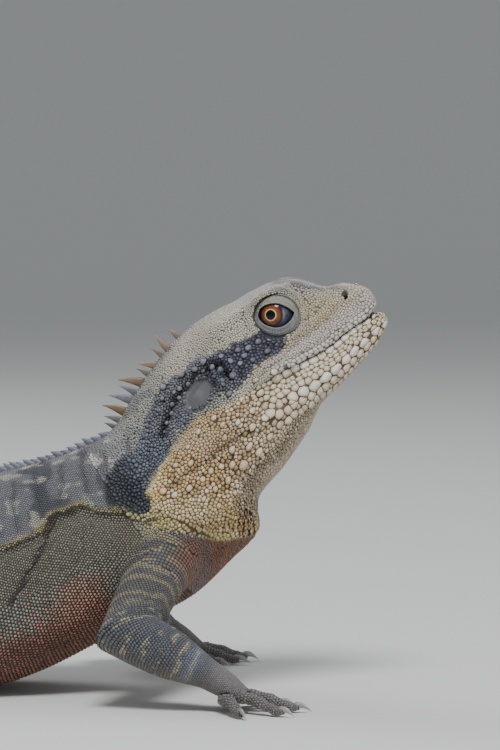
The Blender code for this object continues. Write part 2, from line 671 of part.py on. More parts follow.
def head_part(material):
    """The head with lids, eye openings, ear cups, nostrils and the line of the mouth."""
    rings = folded_rings(KNOTS[0], HEAD_SPLIT - GAP / 2, HEAD_STEP, 48, tuple(KNOTS[1:4]))
    head = tube("head", rings, ends=("seam", "flat"))
    lids = [ball(eye_centre(k), (LID_RADIUS,) * 3, 18, 10) for k in (-1, 1)]
    apply_boolean(head, lids + nape_spines(0, HEAD_SPLIT), "UNION", "MANIFOLD")
    cutters = []
    for k in (-1, 1):
        centre = eye_centre(k)
        opening = peg(centre, (0, k, 0), 1.0, 12, 16)
        opening.data.transform(scale_about(centre, (EYE_OPENING[0] / 2, 1, EYE_OPENING[1] / 2)))
        cutters += [opening, ball(centre, (EYE_RADIUS + GAP,) * 3, 18, 10)]
        ear = head_point(EAR_AT[0], k * surface_out(EAR_AT, k), EAR_AT[1])
        cup = (EAR_SIZE[0] / 2, EAR_DEPTH + EAR_STAND, EAR_SIZE[1] / 2)
        cutters.append(ball(ear + np.array([0, k * EAR_STAND, 0]), cup, 12, 8, (0, EAR_TURN, 0)))
        hole = head_point(NOSTRIL_AT[0], k * (surface_out(NOSTRIL_AT, k) - 1.6), NOSTRIL_AT[1])
        outside = head_point(NOSTRIL_AT[0] + 0.3, k * 9.0, NOSTRIL_AT[1] + 1.4)
        way = outside - head_point(NOSTRIL_AT[0], k * 6.5, NOSTRIL_AT[1])
        cutters.append(peg(hole, way, NOSTRIL_RADIUS, 6, 8, 1.3))
    for index, cutter in enumerate(cutters):
        cutter.name = f"cut_{index}"
        apply_boolean(head, [cutter], "DIFFERENCE", "MANIFOLD")
    return join("head", [head], material)


def scale_about(centre, scale):
    """A matrix that scales about a point."""
    move = Matrix.Translation(Vector(centre))
    size = Matrix.Diagonal((*scale, 1))
    return move @ size @ move.inverted()


def surface_out(place, side):
    """How far out the head's side is at a place given behind and above the mouth's front."""
    _, rings = body_rings(KNOTS[0], HEAD_SPLIT, 1.0, 96)
    a, b, c = head_place(rings)
    score = np.hypot(a - place[0], c - place[1]) + np.where(np.sign(b) == side, 0, 99)
    return abs(b.ravel()[score.argmin()])


def skin_material(name, colour, roughness=0.6):
    """A plain surface finish."""
    material = bpy.data.materials.new(name)
    material.use_nodes = True
    shader = material.node_tree.nodes["Principled BSDF"]
    shader.inputs["Base Color"].default_value = (*colour, 1)
    shader.inputs["Roughness"].default_value = roughness
    shader.inputs["Metallic"].default_value = 0.0
    return material


def body_cutter(start, end):
    """The body's side, a gap larger, to trim a limb's root with."""
    rings = folded_rings(start, end, 3.2, 48)
    rings = rings + outward(rings) * GAP * 1.4
    return tube("body_cutter", rings)


# Distance from ring to ring of the solids
HEAD_STEP, NECK_STEP, TRUNK_STEP, TAIL_STEP = 2.75, 2.65, 8.8, 12.0

HEAD_SPLIT = float(KNOTS[FIRST + 1]) + 3.0
NECK_SPLIT = float(KNOTS[FIRST + 4])
CHEST_SPLIT = float(KNOTS[FIRST + 7])
HIP_SPLIT = float(KNOTS[FIRST + 10]) - 4.0
TAIL_CUTS = [VENT + length for length in (0.0, 75.0, 150.0, 220.0, 290.0, 360.0, 435.0, TAIL_LENGTH)]
SHOULDER_CUT_FROM, SHOULDER_CUT_TO = HEAD_SPLIT + 6.0, CHEST_SPLIT + 20.0


def build():
    """Makes every part."""
    for old in list(bpy.data.objects):
        bpy.data.objects.remove(old)
    slate = skin_material("slate_skin", SLATE)
    tan = skin_material("tan_skin", TAN)
    rust = skin_material("rust_skin", RUST)
    iris = skin_material("eye", (0.35, 0.12, 0.03), 0.1)

    head_part(tan)
    for side, k in (("right", -1), ("left", 1)):
        eye = ball(eye_centre(k), (EYE_RADIUS,) * 3, 16, 9)
        eye.name = f"eye_{side}"
        eye.data.materials.append(iris)

    neck = body_part("neck", HEAD_SPLIT, NECK_SPLIT, NECK_STEP, 48, tan)
    join("neck", [neck] + nape_spines(HEAD_SPLIT, NECK_SPLIT), tan)
    nape_end = float(KNOTS[FIRST + 3]) + 3.0
    lengths = (("chest", NECK_SPLIT, CHEST_SPLIT, slate), ("belly", CHEST_SPLIT, HIP_SPLIT, rust),
               ("hips", HIP_SPLIT, VENT, slate))
    for name, start, end, finish in lengths:
        part = body_part(name, start, end, TRUNK_STEP, 24, finish)
        spines = crest_spines(start, end, nape_end, BACK_SPINE)
        join(name, [part] + spines, finish)
    # Points round each tail piece, and its spines' height at the end as a share of the first
    sizes = ((20, 1.0), (16, 0.85), (12, 0.7), (10, 0.5), (8, 0.0), (8, 0.0), (8, 0.0))
    fade = 1.0
    for number, (around, last) in enumerate(sizes):
        start, end = TAIL_CUTS[number], TAIL_CUTS[number + 1]
        part = body_part(f"tail_{number + 1}", start, end, TAIL_STEP, around, slate)
        height = TAIL_SPINE[0] * fade
        spines = crest_spines(start, end, start, (height, TAIL_SPINE[1]), last / fade) if last else []
        join(f"tail_{number + 1}", [part] + spines, slate)
        fade = last

    for side, arm, leg in (("right", ARM_R, LEG_R), ("left", ARM_L, LEG_L)):
        upper = limb_part(f"upper_arm_{side}", arm, "upper", 16, slate)
        apply_boolean(upper, [body_cutter(SHOULDER_CUT_FROM, SHOULDER_CUT_TO)], "DIFFERENCE")
        join(f"upper_arm_{side}", [upper], slate)
        limb_part(f"forearm_{side}", arm, "lower", 16, slate)
        paw(f"hand_{side}", arm, HAND, slate)
        thigh = limb_part(f"thigh_{side}", leg, "upper", 16, slate)
        apply_boolean(thigh, [body_cutter(CHEST_SPLIT, VENT + 30)], "DIFFERENCE")
        join(f"thigh_{side}", [thigh], slate)
        limb_part(f"shin_{side}", leg, "lower", 16, slate)
        paw(f"foot_{side}", leg, FOOT, slate)


def settle():
    """Presses what dips below the floor flat, puts the origin under the middle and scales to metres."""
    parts = [o for o in bpy.context.scene.objects if o.type == "MESH" and not o.hide_render]
    for part in parts:
        for vertex in part.data.vertices:
            vertex.co.z = max(vertex.co.z, FLOOR)
    points = np.array([v.co for part in parts for v in part.data.vertices])
    low, high = points.min(0), points.max(0)
    move = np.array([-(low[0] + high[0]) / 2, -(low[1] + high[1]) / 2, -low[2]])
    group = bpy.data.collections.new("water_dragon")
    bpy.context.scene.collection.children.link(group)
    for part in parts:
        for vertex in part.data.vertices:
            vertex.co = (np.array(vertex.co) + move) / 1000
        part.data.update()
        for holder in list(part.users_collection):
            holder.objects.unlink(part)
        group.objects.link(part)
    return move


build()
MOVED = settle()
print("origin moved by", MOVED.round(3), "mm")
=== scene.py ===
"""Eastern water dragon, adult male: the looks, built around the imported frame.

Laid out as an add-on and run as a script. All shapes are worked out in millimetres in the same
place as the solids and moved into the frame's own metres when a mesh is made.
"""

import math

import bmesh
import bpy
import numpy as np
from mathutils import Matrix, Vector
from mathutils.bvhtree import BVHTree
from mathutils.kdtree import KDTree


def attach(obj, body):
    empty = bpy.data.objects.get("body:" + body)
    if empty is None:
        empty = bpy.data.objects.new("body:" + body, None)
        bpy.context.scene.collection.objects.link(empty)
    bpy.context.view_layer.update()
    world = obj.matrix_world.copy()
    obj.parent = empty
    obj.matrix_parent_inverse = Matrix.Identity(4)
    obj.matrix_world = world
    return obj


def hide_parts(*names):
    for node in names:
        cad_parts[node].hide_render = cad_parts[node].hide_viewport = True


bl_info = {
    "name": "Water Dragon",
    "version": (1, 0, 0),
    "blender": (4, 5, 0),
    "location": "3D View > Sidebar > Water Dragon",
    "description": "Builds the skin, scales, eyes, crest and claws of a life-size water dragon",
    "category": "Add Mesh",
}

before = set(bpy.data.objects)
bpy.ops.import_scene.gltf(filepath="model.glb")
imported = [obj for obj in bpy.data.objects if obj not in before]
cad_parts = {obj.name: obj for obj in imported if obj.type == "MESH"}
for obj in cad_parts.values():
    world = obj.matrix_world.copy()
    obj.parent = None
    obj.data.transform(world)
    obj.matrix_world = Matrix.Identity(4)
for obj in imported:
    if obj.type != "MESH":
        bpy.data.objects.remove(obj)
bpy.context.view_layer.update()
SHIFT = np.array([213.369, -1.317, 0.0])    # from the shape's own place to the frame's, in mm
BODY = "root"

# The shape, as in the solids

HEAD_PITCH = math.radians(31.3)
HEAD_ROLL = math.radians(3.0)
MOUTH_FRONT = (109.5, 109.0)
TAIL_LENGTH = 520.0
EYE_RADIUS = 5.95
EYE_OUT = 9.2
EYE_AT = (25.0, 15.9)
EYE_PIXEL = (275.8, 315.0)  # the eye's middle in the photo
EAR_AT = (55.7, 8.1)
EAR_SIZE = (12.4, 7.8)
EAR_DEPTH = 1.7
EAR_TILT = math.radians(-18)
NOSTRIL_AT = (5.3, 10.2)
NOSTRIL_RADIUS = 0.9
MOUTH_CORNER = 37.0
MOUTH_GROOVE = 0.9
CRANIUM_ROUND = 0.62
GUIDES = 13
SNOUT_STEPS = (0, 0.25, 0.5, 0.75)
SNOUT_LENGTH = 6            # along the body, from the snout's middle line to the first head section

# Front of the snout on the middle line, from the nose down over the mouth to the chin
SNOUT = [(0.8, 10.8), (-0.3, 9.8), (-1.1, 8.8), (-1.7, 7.6), (-2.05, 6.2), (-2.0, 4.4), (-1.3, 2.5),
         (0.9, 1.2), (-1.6, -0.3), (-2.0, -2.0), (-1.3, -3.6), (0.3, -4.9), (1.6, -5.7)]

# Head sections: behind the mouth's front; midline top; brow out, brow up; out at eye level;
# lip out; mouth line up; jaw side out; jaw edge out, jaw edge down; throat down
HEAD = [
    (3.5, 13.1, 5.6, 12.2, 7.6, 8.2, 0.9, 7.6, 5.9, 6.0, 6.9),
    (9.0, 15.2, 7.4, 14.4, 9.3, 10.9, 0.7, 10.2, 8.0, 7.8, 8.9),
    (12.0, 18.0, 8.8, 17.9, 10.0, 12.2, 0.4, 11.4, 9.1, 8.5, 9.8),
    (15.0, 21.1, 10.2, 20.9, 10.6, 13.4, 0.0, 12.6, 10.2, 9.3, 10.7),
    (20.0, 23.4, 12.6, 23.0, 11.4, 15.2, -0.2, 14.8, 12.1, 10.4, 11.9),
    (26.5, 24.4, 14.4, 23.8, 12.4, 17.2, 0.3, 17.2, 14.4, 11.5, 13.2),
    (34.0, 25.0, 14.4, 23.4, 15.0, 18.8, 0.8, 19.6, 16.4, 14.2, 18.2),
    (42.0, 25.8, 14.2, 22.8, 17.6, 20.9, 1.0, 21.8, 17.2, 17.6, 22.0),
]

# Neck and trunk sections: back x, z; belly x, z; half width; height of the widest place as a
# share from belly to back; squareness above and below
TRUNK = [
    (53.7, 104.6, 82.3, 64.6, 23.6, 0.42, 1.7, 2.9),
    (46.0, 96.4, 75.2, 55.8, 23.4, 0.38, 1.7, 3.2),
    (38.6, 85.8, 75.2, 46.5, 22.6, 0.38, 1.8, 2.8),
    (31.9, 75.4, 67.0, 37.2, 23.0, 0.42, 1.8, 2.3),
    (23.6, 70.8, 56.0, 27.0, 26.0, 0.45, 1.8, 2.2),
    (12.0, 66.5, 36.0, 17.4, 28.0, 0.46, 1.8, 2.3),
    (-1.0, 63.4, 12.0, 5.4, 29.4, 0.44, 1.8, 2.5),
    (-14.0, 59.8, -8.0, -0.6, 30.6, 0.42, 1.8, 2.6),
    (-33.0, 53.2, -31.0, -1.0, 30.8, 0.40, 1.8, 2.6),
    (-54.0, 44.8, -54.0, -1.0, 27.6, 0.40, 1.8, 2.6),
    (-72.0, 37.8, -73.0, -1.0, 22.6, 0.42, 1.9, 2.5),
    (-86.0, 34.2, -87.0, -0.8, 18.8, 0.45, 1.9, 2.4),
    (-99.0, 32.0, -99.5, -0.6, 16.4, 0.47, 1.9, 2.3),
]

# Tail sections: length from the vent; half width; height; and the heading's turn in degrees
TAIL = [
    (0.0, 16.4, 32.4, 0.0),
    (26.0, 13.6, 29.6, -3.0),
    (60.0, 11.8, 26.6, -10.0),
    (110.0, 9.6, 22.4, -24.0),
    (180.0, 7.4, 17.0, -34.0),
    (270.0, 5.4, 11.8, -12.0),
    (360.0, 3.7, 7.8, 24.0),
    (450.0, 2.3, 4.8, 52.0),
    (505.0, 1.3, 2.7, 66.0),
    (520.0, 0.55, 1.2, 70.0),
]

JOWL_FOLD = [(58.8, 2.5), (68.5, -1.1), (76.7, -4.6), (83.7, -8.8), (84.0, -16.5), (80.0, -24.0),
             (71.2, -31.7), (60.8, -36.0)]
JOWL_FRONT = [(40.0, -70.0), (0.0, -71.0), (0.0, 30.0), (50.0, 29.0)]
JOWL_STAND = 3.2
FOLD_WIDTH = 3.2

# Limbs: root, middle joint and last joint, with half width and half thickness at the root,
# half way and end of each of the two lengths, then the paw's heading in degrees
ARM_R = {"joints": [(51, -12, 44), (38, -45, 21.5), (60.5, -47.5, 10.5)],
         "upper": ([11.0, 9.2, 7.8], [11.0, 9.4, 8.0]), "lower": ([7.8, 7.4, 5.2], [8.0, 7.4, 4.6]),
         "heading": -6.0}
ARM_L = {"joints": [(51, 12, 44), (31, 45, 21.5), (47, 54, 10.5)],
         "upper": ([11.0, 9.2, 7.8], [11.0, 9.4, 8.0]), "lower": ([7.8, 7.4, 5.2], [8.0, 7.4, 4.6]),
         "heading": 16.0}
LEG_R = {"joints": [(-84, -8, 19), (-59, -51, 19), (-92, -62, 7.5)],
         "upper": ([14.5, 12.6, 9.4], [13.5, 12.8, 9.6]), "lower": ([9.4, 9.0, 5.6], [9.6, 9.2, 5.4]),
         "heading": -21.0, "heel": 5.0}
LEG_L = {"joints": [(-84, 8, 19), (-65, 51, 19), (-98, 63, 7.5)],
         "upper": ([14.5, 12.6, 9.4], [13.5, 12.8, 9.6]), "lower": ([9.4, 9.0, 5.6], [9.6, 9.2, 5.4]),
         "heading": 25.0, "heel": 5.0}
# Digits from the inner one out: turn away from the paw's heading, length, place across the palm
FINGERS = [(40, 8.0, 0.9), (17, 12.5, 0.5), (-3, 15.5, 0.0), (-26, 15.0, -0.5), (-62, 10.0, -0.9)]
TOES = [(20, 11.0, 0.9), (10, 19.0, 0.5), (1, 28.0, 0.1), (-9, 39.0, -0.4), (-48, 21.0, -0.9)]
HAND = {"palm": 10.5, "wide": 6.4, "thick": 3.4, "digit": 2.05, "claw": 4.6, "digits": FINGERS}
FOOT = {"palm": 23.0, "wide": 6.6, "thick": 4.0, "digit": 2.35, "claw": 5.0, "digits": TOES}

LIMBS = (("arm_right", ARM_R, HAND), ("arm_left", ARM_L, HAND), ("leg_right", LEG_R, FOOT),
         ("leg_left", LEG_L, FOOT))

# Crest spines on the nape: x and z of the root, then how far the tip is from it
NAPE = [(52.5, 101.7, -3.2, 2.0), (49.0, 98.8, -3.6, 3.5), (46.8, 97.3, -3.1, 2.0),
        (44.3, 94.7, -4.8, -0.2), (43.0, 91.7, -3.2, 1.5), (41.7, 89.1, -6.9, 0.4),
        (38.7, 86.5, -4.5, 1.9), (36.8, 84.7, -6.2, 1.1), (34.6, 81.4, -5.9, 1.8),
        (33.2, 79.1, -4.1, 0.9), (32.4, 76.9, -2.8, 0.9)]

NAPE_COLOURS = [(156, 132, 118), (160, 136, 122), (150, 128, 114), (166, 144, 126), (136, 122, 112),
                (142, 120, 98), (132, 130, 138), (138, 136, 152), (140, 110, 80), (132, 122, 124),
                (112, 112, 116)]

# The eye's opening and the edge of its lids, out from the eyeball's middle: forward and up
EYE_MARGIN = [(-5.5, 0.1), (-4.9, 1.8), (-3.4, 2.9), (-1.5, 3.35), (0.25, 3.3), (2.0, 2.7),
              (3.8, 1.8), (5.0, 0.75), (4.5, -0.5), (3.5, -1.85), (2.0, -2.95), (0.0, -3.5),
              (-2.1, -3.2), (-4.0, -2.4), (-5.2, -1.1)]
LID_EDGE = (6.75, 6.1)      # half length and half height of the lids together

# Photo pixels at the middle plane of the animal: 3.45 to a millimetre
PIXELS = 3.45
PIXEL_AT = (72.46, 91.3, 250.0, 375.0)
CAMERA_RISE = math.radians(3.0)
CAMERA_FAR = 1100.0


def smooth(knots, values, t):
    """Values at t, along a cubic through the knots that keeps each knot's mean slope."""
    k = np.asarray(knots, float)
    v = np.asarray(values, float)
    t = np.clip(np.asarray(t, float), k[0], k[-1])
    d = (v[1:] - v[:-1]) / (k[1:] - k[:-1]).reshape(-1, *([1] * (v.ndim - 1)))
    m = np.concatenate([d[:1], (d[1:] + d[:-1]) / 2, d[-1:]])
    i = np.clip(np.searchsorted(k, t, side="right") - 1, 0, len(k) - 2)
    h = (k[i + 1] - k[i])
    u = ((t - k[i]) / h).reshape(*t.shape, *([1] * (v.ndim - 1)))
    h = h.reshape(u.shape)
    return ((2 * u**3 - 3 * u**2 + 1) * v[i] + (u**3 - 2 * u**2 + u) * h * m[i]
            + (3 * u**2 - 2 * u**3) * v[i + 1] + (u**3 - u**2) * h * m[i + 1])


def blend(low, high, x):
    """0 below low, 1 above high, and a smooth step between."""
    u = np.clip((np.asarray(x, float) - low) / (high - low), 0, 1)
    return u * u * (3 - 2 * u)


def bell(x, width):
    """1 where x is 0, falling to 0 over a few widths."""
    return np.exp(-(x / width) ** 2)


def blot(px, py, x, y, wide, high, power=2):
    """1 in the middle of an oval at x, y, falling to 0 outside it."""
    return np.exp(-(((px - x) / wide) ** 2 + ((py - y) / high) ** 2) ** power)


def unit(v):
    """v, or each row of v, at a length of one."""
    v = np.asarray(v, float)
    return v / np.maximum(np.linalg.norm(v, axis=-1, keepdims=True), 1e-12)


def across_and_up(way):
    """Two directions square to way and to each other, the first one level."""
    across = unit(np.cross(way, (0.0, 0.0, 1.0)))
    return across, np.cross(across, way)


def running(steps):
    """Running totals of steps, from 0."""
    return np.concatenate([[0], np.cumsum(steps)])


def lengths(line):
    """How far along a line each of its points is."""
    return running(np.linalg.norm(np.diff(line, axis=0), axis=1))


def spans(stops):
    """Each pair of neighbours in a list."""
    return zip(stops[:-1], stops[1:])


def tree_of(points, numbers=None):
    """A tree that finds the nearest of some points, by number."""
    tree = KDTree(len(points))
    for number, point in zip(range(len(points)) if numbers is None else numbers, points):
        tree.insert(point, number)
    tree.balance()
    return tree


def head_point(a, b, c):
    """A point a behind, b to the left of and c above the mouth's front."""
    b, c = b * np.cos(HEAD_ROLL) - c * np.sin(HEAD_ROLL), c * np.cos(HEAD_ROLL) + b * np.sin(HEAD_ROLL)
    x = MOUTH_FRONT[0] - a * math.cos(HEAD_PITCH) - c * math.sin(HEAD_PITCH)
    z = MOUTH_FRONT[1] - a * math.sin(HEAD_PITCH) + c * math.cos(HEAD_PITCH)
    return np.stack(np.broadcast_arrays(x, b, z), -1)


def head_place(p):
    """How far points are behind, beside and above the mouth's front, in the pitched head's axes."""
    dx = p[..., 0] - MOUTH_FRONT[0]
    dz = p[..., 2] - MOUTH_FRONT[1]
    a = -dx * math.cos(HEAD_PITCH) - dz * math.sin(HEAD_PITCH)
    c = -dx * math.sin(HEAD_PITCH) + dz * math.cos(HEAD_PITCH)
    return a, p[..., 1], c


def unrolled(p):
    """The (a, b, c) that head_point turns into p."""
    a, b, c = head_place(p)
    cosine, sine = math.cos(HEAD_ROLL), math.sin(HEAD_ROLL)
    return a, b * cosine + c * sine, c * cosine - b * sine


def side_view(p):
    """Where points show in the photo, in its pixels; the left side is a mirror of the right."""
    x = PIXEL_AT[2] + (p[..., 0] - PIXEL_AT[0]) * PIXELS
    y = PIXEL_AT[3] - (p[..., 2] - PIXEL_AT[1] - np.abs(p[..., 1]) * math.sin(CAMERA_RISE)) * PIXELS
    return x, y


def from_eye(px, py):
    """Distance in the photo from the eye's middle, in millimetres."""
    return np.hypot(px - EYE_PIXEL[0], py - EYE_PIXEL[1]) / PIXELS


def head_guides(row, side):
    """One side's guide points of a head section, from the crown down to the throat."""
    a, top, brow_b, brow_c, eye_b, lip_b, mouth, jaw_b, edge_b, edge_c, throat = row
    eye_c = mouth + (brow_c - mouth) * 0.62
    groove = MOUTH_GROOVE * (1 - blend(MOUTH_CORNER - 3, MOUTH_CORNER, a))
    line = [
        (0, top),
        (brow_b * CRANIUM_ROUND, top + (brow_c - top) * 0.35),
        (brow_b, brow_c),
        ((brow_b + eye_b) / 2 + 0.1, brow_c * 0.55 + eye_c * 0.45),
        (eye_b, eye_c),
        (eye_b + (lip_b - eye_b) * 0.55, mouth + (eye_c - mouth) * 0.52),
        (lip_b, mouth + (eye_c - mouth) * 0.17),
        (lip_b * 0.98 - groove, mouth),
        (lip_b * 0.97, mouth - (edge_c + mouth) * 0.22),
        (jaw_b, mouth - (edge_c + mouth) * 0.58),
        (edge_b, -edge_c),
        (edge_b * 0.52, -edge_c - (throat - edge_c) * 0.80),
        (0, -throat),
    ]
    return np.array([head_point(a, side * b, c) for b, c in line])


# The guides' places along the last head section, from 0 on the back to 1 at the throat
HEAD_STEPS = np.linalg.norm(np.diff(head_guides(HEAD[-1], 1), axis=0), axis=1)
HEAD_SPREAD = running(HEAD_STEPS) / HEAD_STEPS.sum()


def snout_guides(side, t):
    """Guide points part of the way round from the snout's middle line (0) to the first section (1)."""
    a, b, c = unrolled(head_guides(HEAD[0], side))
    start = np.array(SNOUT)
    turn = 1 - math.cos(t * math.pi / 2)
    return head_point(start[:, 0] + (a - start[:, 0]) * turn, b * math.sin(t * math.pi / 2),
                      start[:, 1] + (c - start[:, 1]) * turn)


def oval_guides(back, belly, half_width, widest, above, below, like_head=0.0):
    """Guide points of a body section that hangs between the back line and the belly line."""
    angle = np.linspace(math.pi / 2, -math.pi / 2, 16 * GUIDES)
    power = np.where(angle > 0, 2 / above, 2 / below)
    out = half_width * np.abs(np.cos(angle)) ** power
    rise = np.sign(np.sin(angle)) * np.abs(np.sin(angle)) ** power
    share = np.where(rise > 0, widest + (1 - widest) * rise, widest * (1 + rise))
    steps = np.hypot(np.diff(share) * np.linalg.norm(back - belly), np.diff(out))
    length = running(steps)
    at = length[-1] * (np.linspace(0, 1, GUIDES) * (1 - like_head) + HEAD_SPREAD * like_head)
    share, out = np.interp(at, length, share), np.interp(at, length, out)
    return belly + (back - belly) * share[:, None], out


def body_stations():
    """Stations from the snout to the tail's tip: length along the body, right and left guides."""
    stations = [(HEAD[0][0] - SNOUT_LENGTH * (1 - t), snout_guides(-1, t), snout_guides(1, t))
                for t in SNOUT_STEPS]
    stations += [(row[0], head_guides(row, -1), head_guides(row, 1)) for row in HEAD]
    at = HEAD[-1][0]
    middle = stations[-1][1][[0, -1]].mean(0)
    for number, (bx, bz, vx, vz, w, widest, above, below) in enumerate(TRUNK):
        back, belly = np.array([bx, 0, bz]), np.array([vx, 0, vz])
        line, out = oval_guides(back, belly, w, widest, above, below, max(0.0, 1 - number / 4))
        here = (back + belly) / 2
        at += np.linalg.norm(here - middle)
        middle = here
        side = np.array([0, 1, 0])
        stations.append((at, line - out[:, None] * side, line + out[:, None] * side))
    s = np.arange(0, TAIL_LENGTH + 1)
    turn = np.radians(smooth([r[0] for r in TAIL], [r[3] for r in TAIL], s))
    x = TRUNK[-1][0] - running(np.cos(turn[1:]))
    y = -running(np.sin(turn[1:]))
    for length, w, height, _ in TAIL[1:]:
        i = int(length)
        across = np.array([-math.sin(turn[i]), math.cos(turn[i]), 0])
        back, belly = np.array([x[i], y[i], height - 0.5]), np.array([x[i], y[i], -0.5])
        line, out = oval_guides(back, belly, w, 0.46, 1.9, 2.3)
        stations.append((at + length, line - out[:, None] * across, line + out[:, None] * across))
    return stations


STATIONS = body_stations()
KNOTS = np.array([s[0] for s in STATIONS])
RIGHT = np.array([s[1] for s in STATIONS])
LEFT = np.array([s[2] for s in STATIONS])
FIRST = len(HEAD) + len(SNOUT_STEPS)
VENT = float(KNOTS[FIRST + len(TRUNK) - 1])
SHOULDER = float(KNOTS[FIRST + 3])


def body_rings(s, around):
    """Rings of the body's plain surface at lengths s, with points from the back round the right."""
    v = np.linspace(0, GUIDES - 1, around // 2 + 1)
    right, left = (np.swapaxes(smooth(np.arange(GUIDES), np.swapaxes(smooth(KNOTS, guides, s), 0, 1), v),
                               0, 1) for guides in (RIGHT, LEFT))
    return np.concatenate([right, left[:, -2:0:-1]], 1)


def outward(rings):
    """Unit directions out of the surface of a stack of rings."""
    around = np.roll(rings, -1, 1) - np.roll(rings, 1, 1)
    n = unit(np.cross(np.gradient(rings, axis=0), around))
    middle = rings.mean(1, keepdims=True)
    return n * np.sign(np.sum(n * (rings - middle), -1).sum())


def line_place(x, y, line):
    """Distance from a chain of points, the side of it (1 on its left), the share along it (0 to 1)."""
    line = np.array(line, float)
    best = np.full(np.shape(x), 1e9)
    side, share = np.ones(np.shape(x)), np.zeros(np.shape(x))
    for i, (p, q) in enumerate(spans(line)):
        d = q - p
        t = np.clip(((x - p[0]) * d[0] + (y - p[1]) * d[1]) / (d @ d), 0, 1)
        off = np.hypot(x - p[0] - t * d[0], y - p[1] - t * d[1])
        nearer = off < best
        best = np.where(nearer, off, best)
        side = np.where(nearer, np.sign(d[0] * (y - p[1]) - d[1] * (x - p[0])), side)
        share = np.where(nearer, (i + t) / (len(line) - 1), share)
    return best, side, share


def inside(x, y, outline, soft=2.0):
    """1 inside a closed outline and 0 outside, with a soft edge."""
    line = list(outline) + [outline[0]]
    off, _, _ = line_place(x, y, line)
    within = np.zeros(np.shape(x), bool)
    for (px, py), (qx, qy) in spans(line):
        crosses = (py > y) != (qy > y)
        at = px + (y - py) * (qx - px) / (qy - py if qy != py else 1e-9)
        within ^= crosses & (x < at)
    return blend(-soft, soft, np.where(within, off, -off))


def fold_side(a, c):
    """Distance in front of the jowl's fold: positive on the jowl, negative behind it."""
    within = inside(a, c, JOWL_FOLD + JOWL_FRONT, 1e-6) > 0.5
    off, _, _ = line_place(a, c, JOWL_FOLD)
    return np.where(within, off, -off)


def ear_round(a, c):
    """0 in the middle of the ear's drum and 1 on its rim."""
    ea, ec = a - EAR_AT[0], c - EAR_AT[1]
    u = (ea * math.cos(EAR_TILT) + ec * math.sin(EAR_TILT)) / (EAR_SIZE[0] / 2)
    w = (ec * math.cos(EAR_TILT) - ea * math.sin(EAR_TILT)) / (EAR_SIZE[1] / 2)
    return np.hypot(u, w)


# Folds and creases, in photo pixels
EAR_FOLD = [(227, 376), (222, 369), (213, 366), (202, 371), (191, 381), (181, 394), (171, 408),
            (164, 424), (162, 434)]
RIDGE = [(4, 545), (27, 538), (46, 527), (58, 513), (72, 508), (86, 505), (110, 509), (134, 515),
         (158, 517)]
SIDE_CREASE = [(62, 512), (46, 542), (33, 573), (17, 600)]
JOWL_CREASE = [(296, 408), (280, 420), (264, 428), (244, 435), (220, 449), (201, 463), (190, 472),
               (172, 486)]
CHEEK_LINES = [[(337, 310), (312, 331), (290, 350), (267, 369), (248, 390)],
               [(356, 318), (341, 329), (316, 345), (296, 357), (276, 367)],
               [(326, 302), (308, 318), (296, 330)]]
JOWL_LINES = [[(299, 397), (267, 406), (240, 427), (212, 445)],
              [(249, 436), (228, 459), (207, 473), (184, 496)],
              [(240, 468), (221, 486), (207, 505)]]
NECK_CREASES = [[(127, 430), (134, 470), (133, 500)],
                [(104, 446), (110, 475), (113, 503)],
                [(82, 452), (88, 480), (92, 503)],
                [(60, 458), (64, 480), (62, 505)],
                [(36, 466), (40, 495), (45, 522)],
                [(14, 473), (18, 505), (24, 535)]]
SHOULDER_CREASES = [[(150, 522), (128, 540), (116, 566), (112, 600)],
                    [(168, 524), (140, 536), (124, 556)],
                    [(90, 520), (84, 548), (70, 580)]]

# All creases: their chain of points, half width in pixels and depth in millimetres
CREASES = ([(SIDE_CREASE, 3.2, 1.0), (JOWL_CREASE, 3.0, 0.7)] + [(k, 2.2, 0.3) for k in CHEEK_LINES]
           + [(k, 2.4, 0.4) for k in JOWL_LINES] + [(k, 2.8, 0.35) for k in NECK_CREASES]
           + [(k, 3.0, 0.35) for k in SHOULDER_CREASES])


def pleats(px, py):
    """Waves of the thin folds that hang under the throat."""
    return np.sin(px * 2 * math.pi / 5.0 + py * 0.12) * blot(px, py, 249, 517, 14, 22)


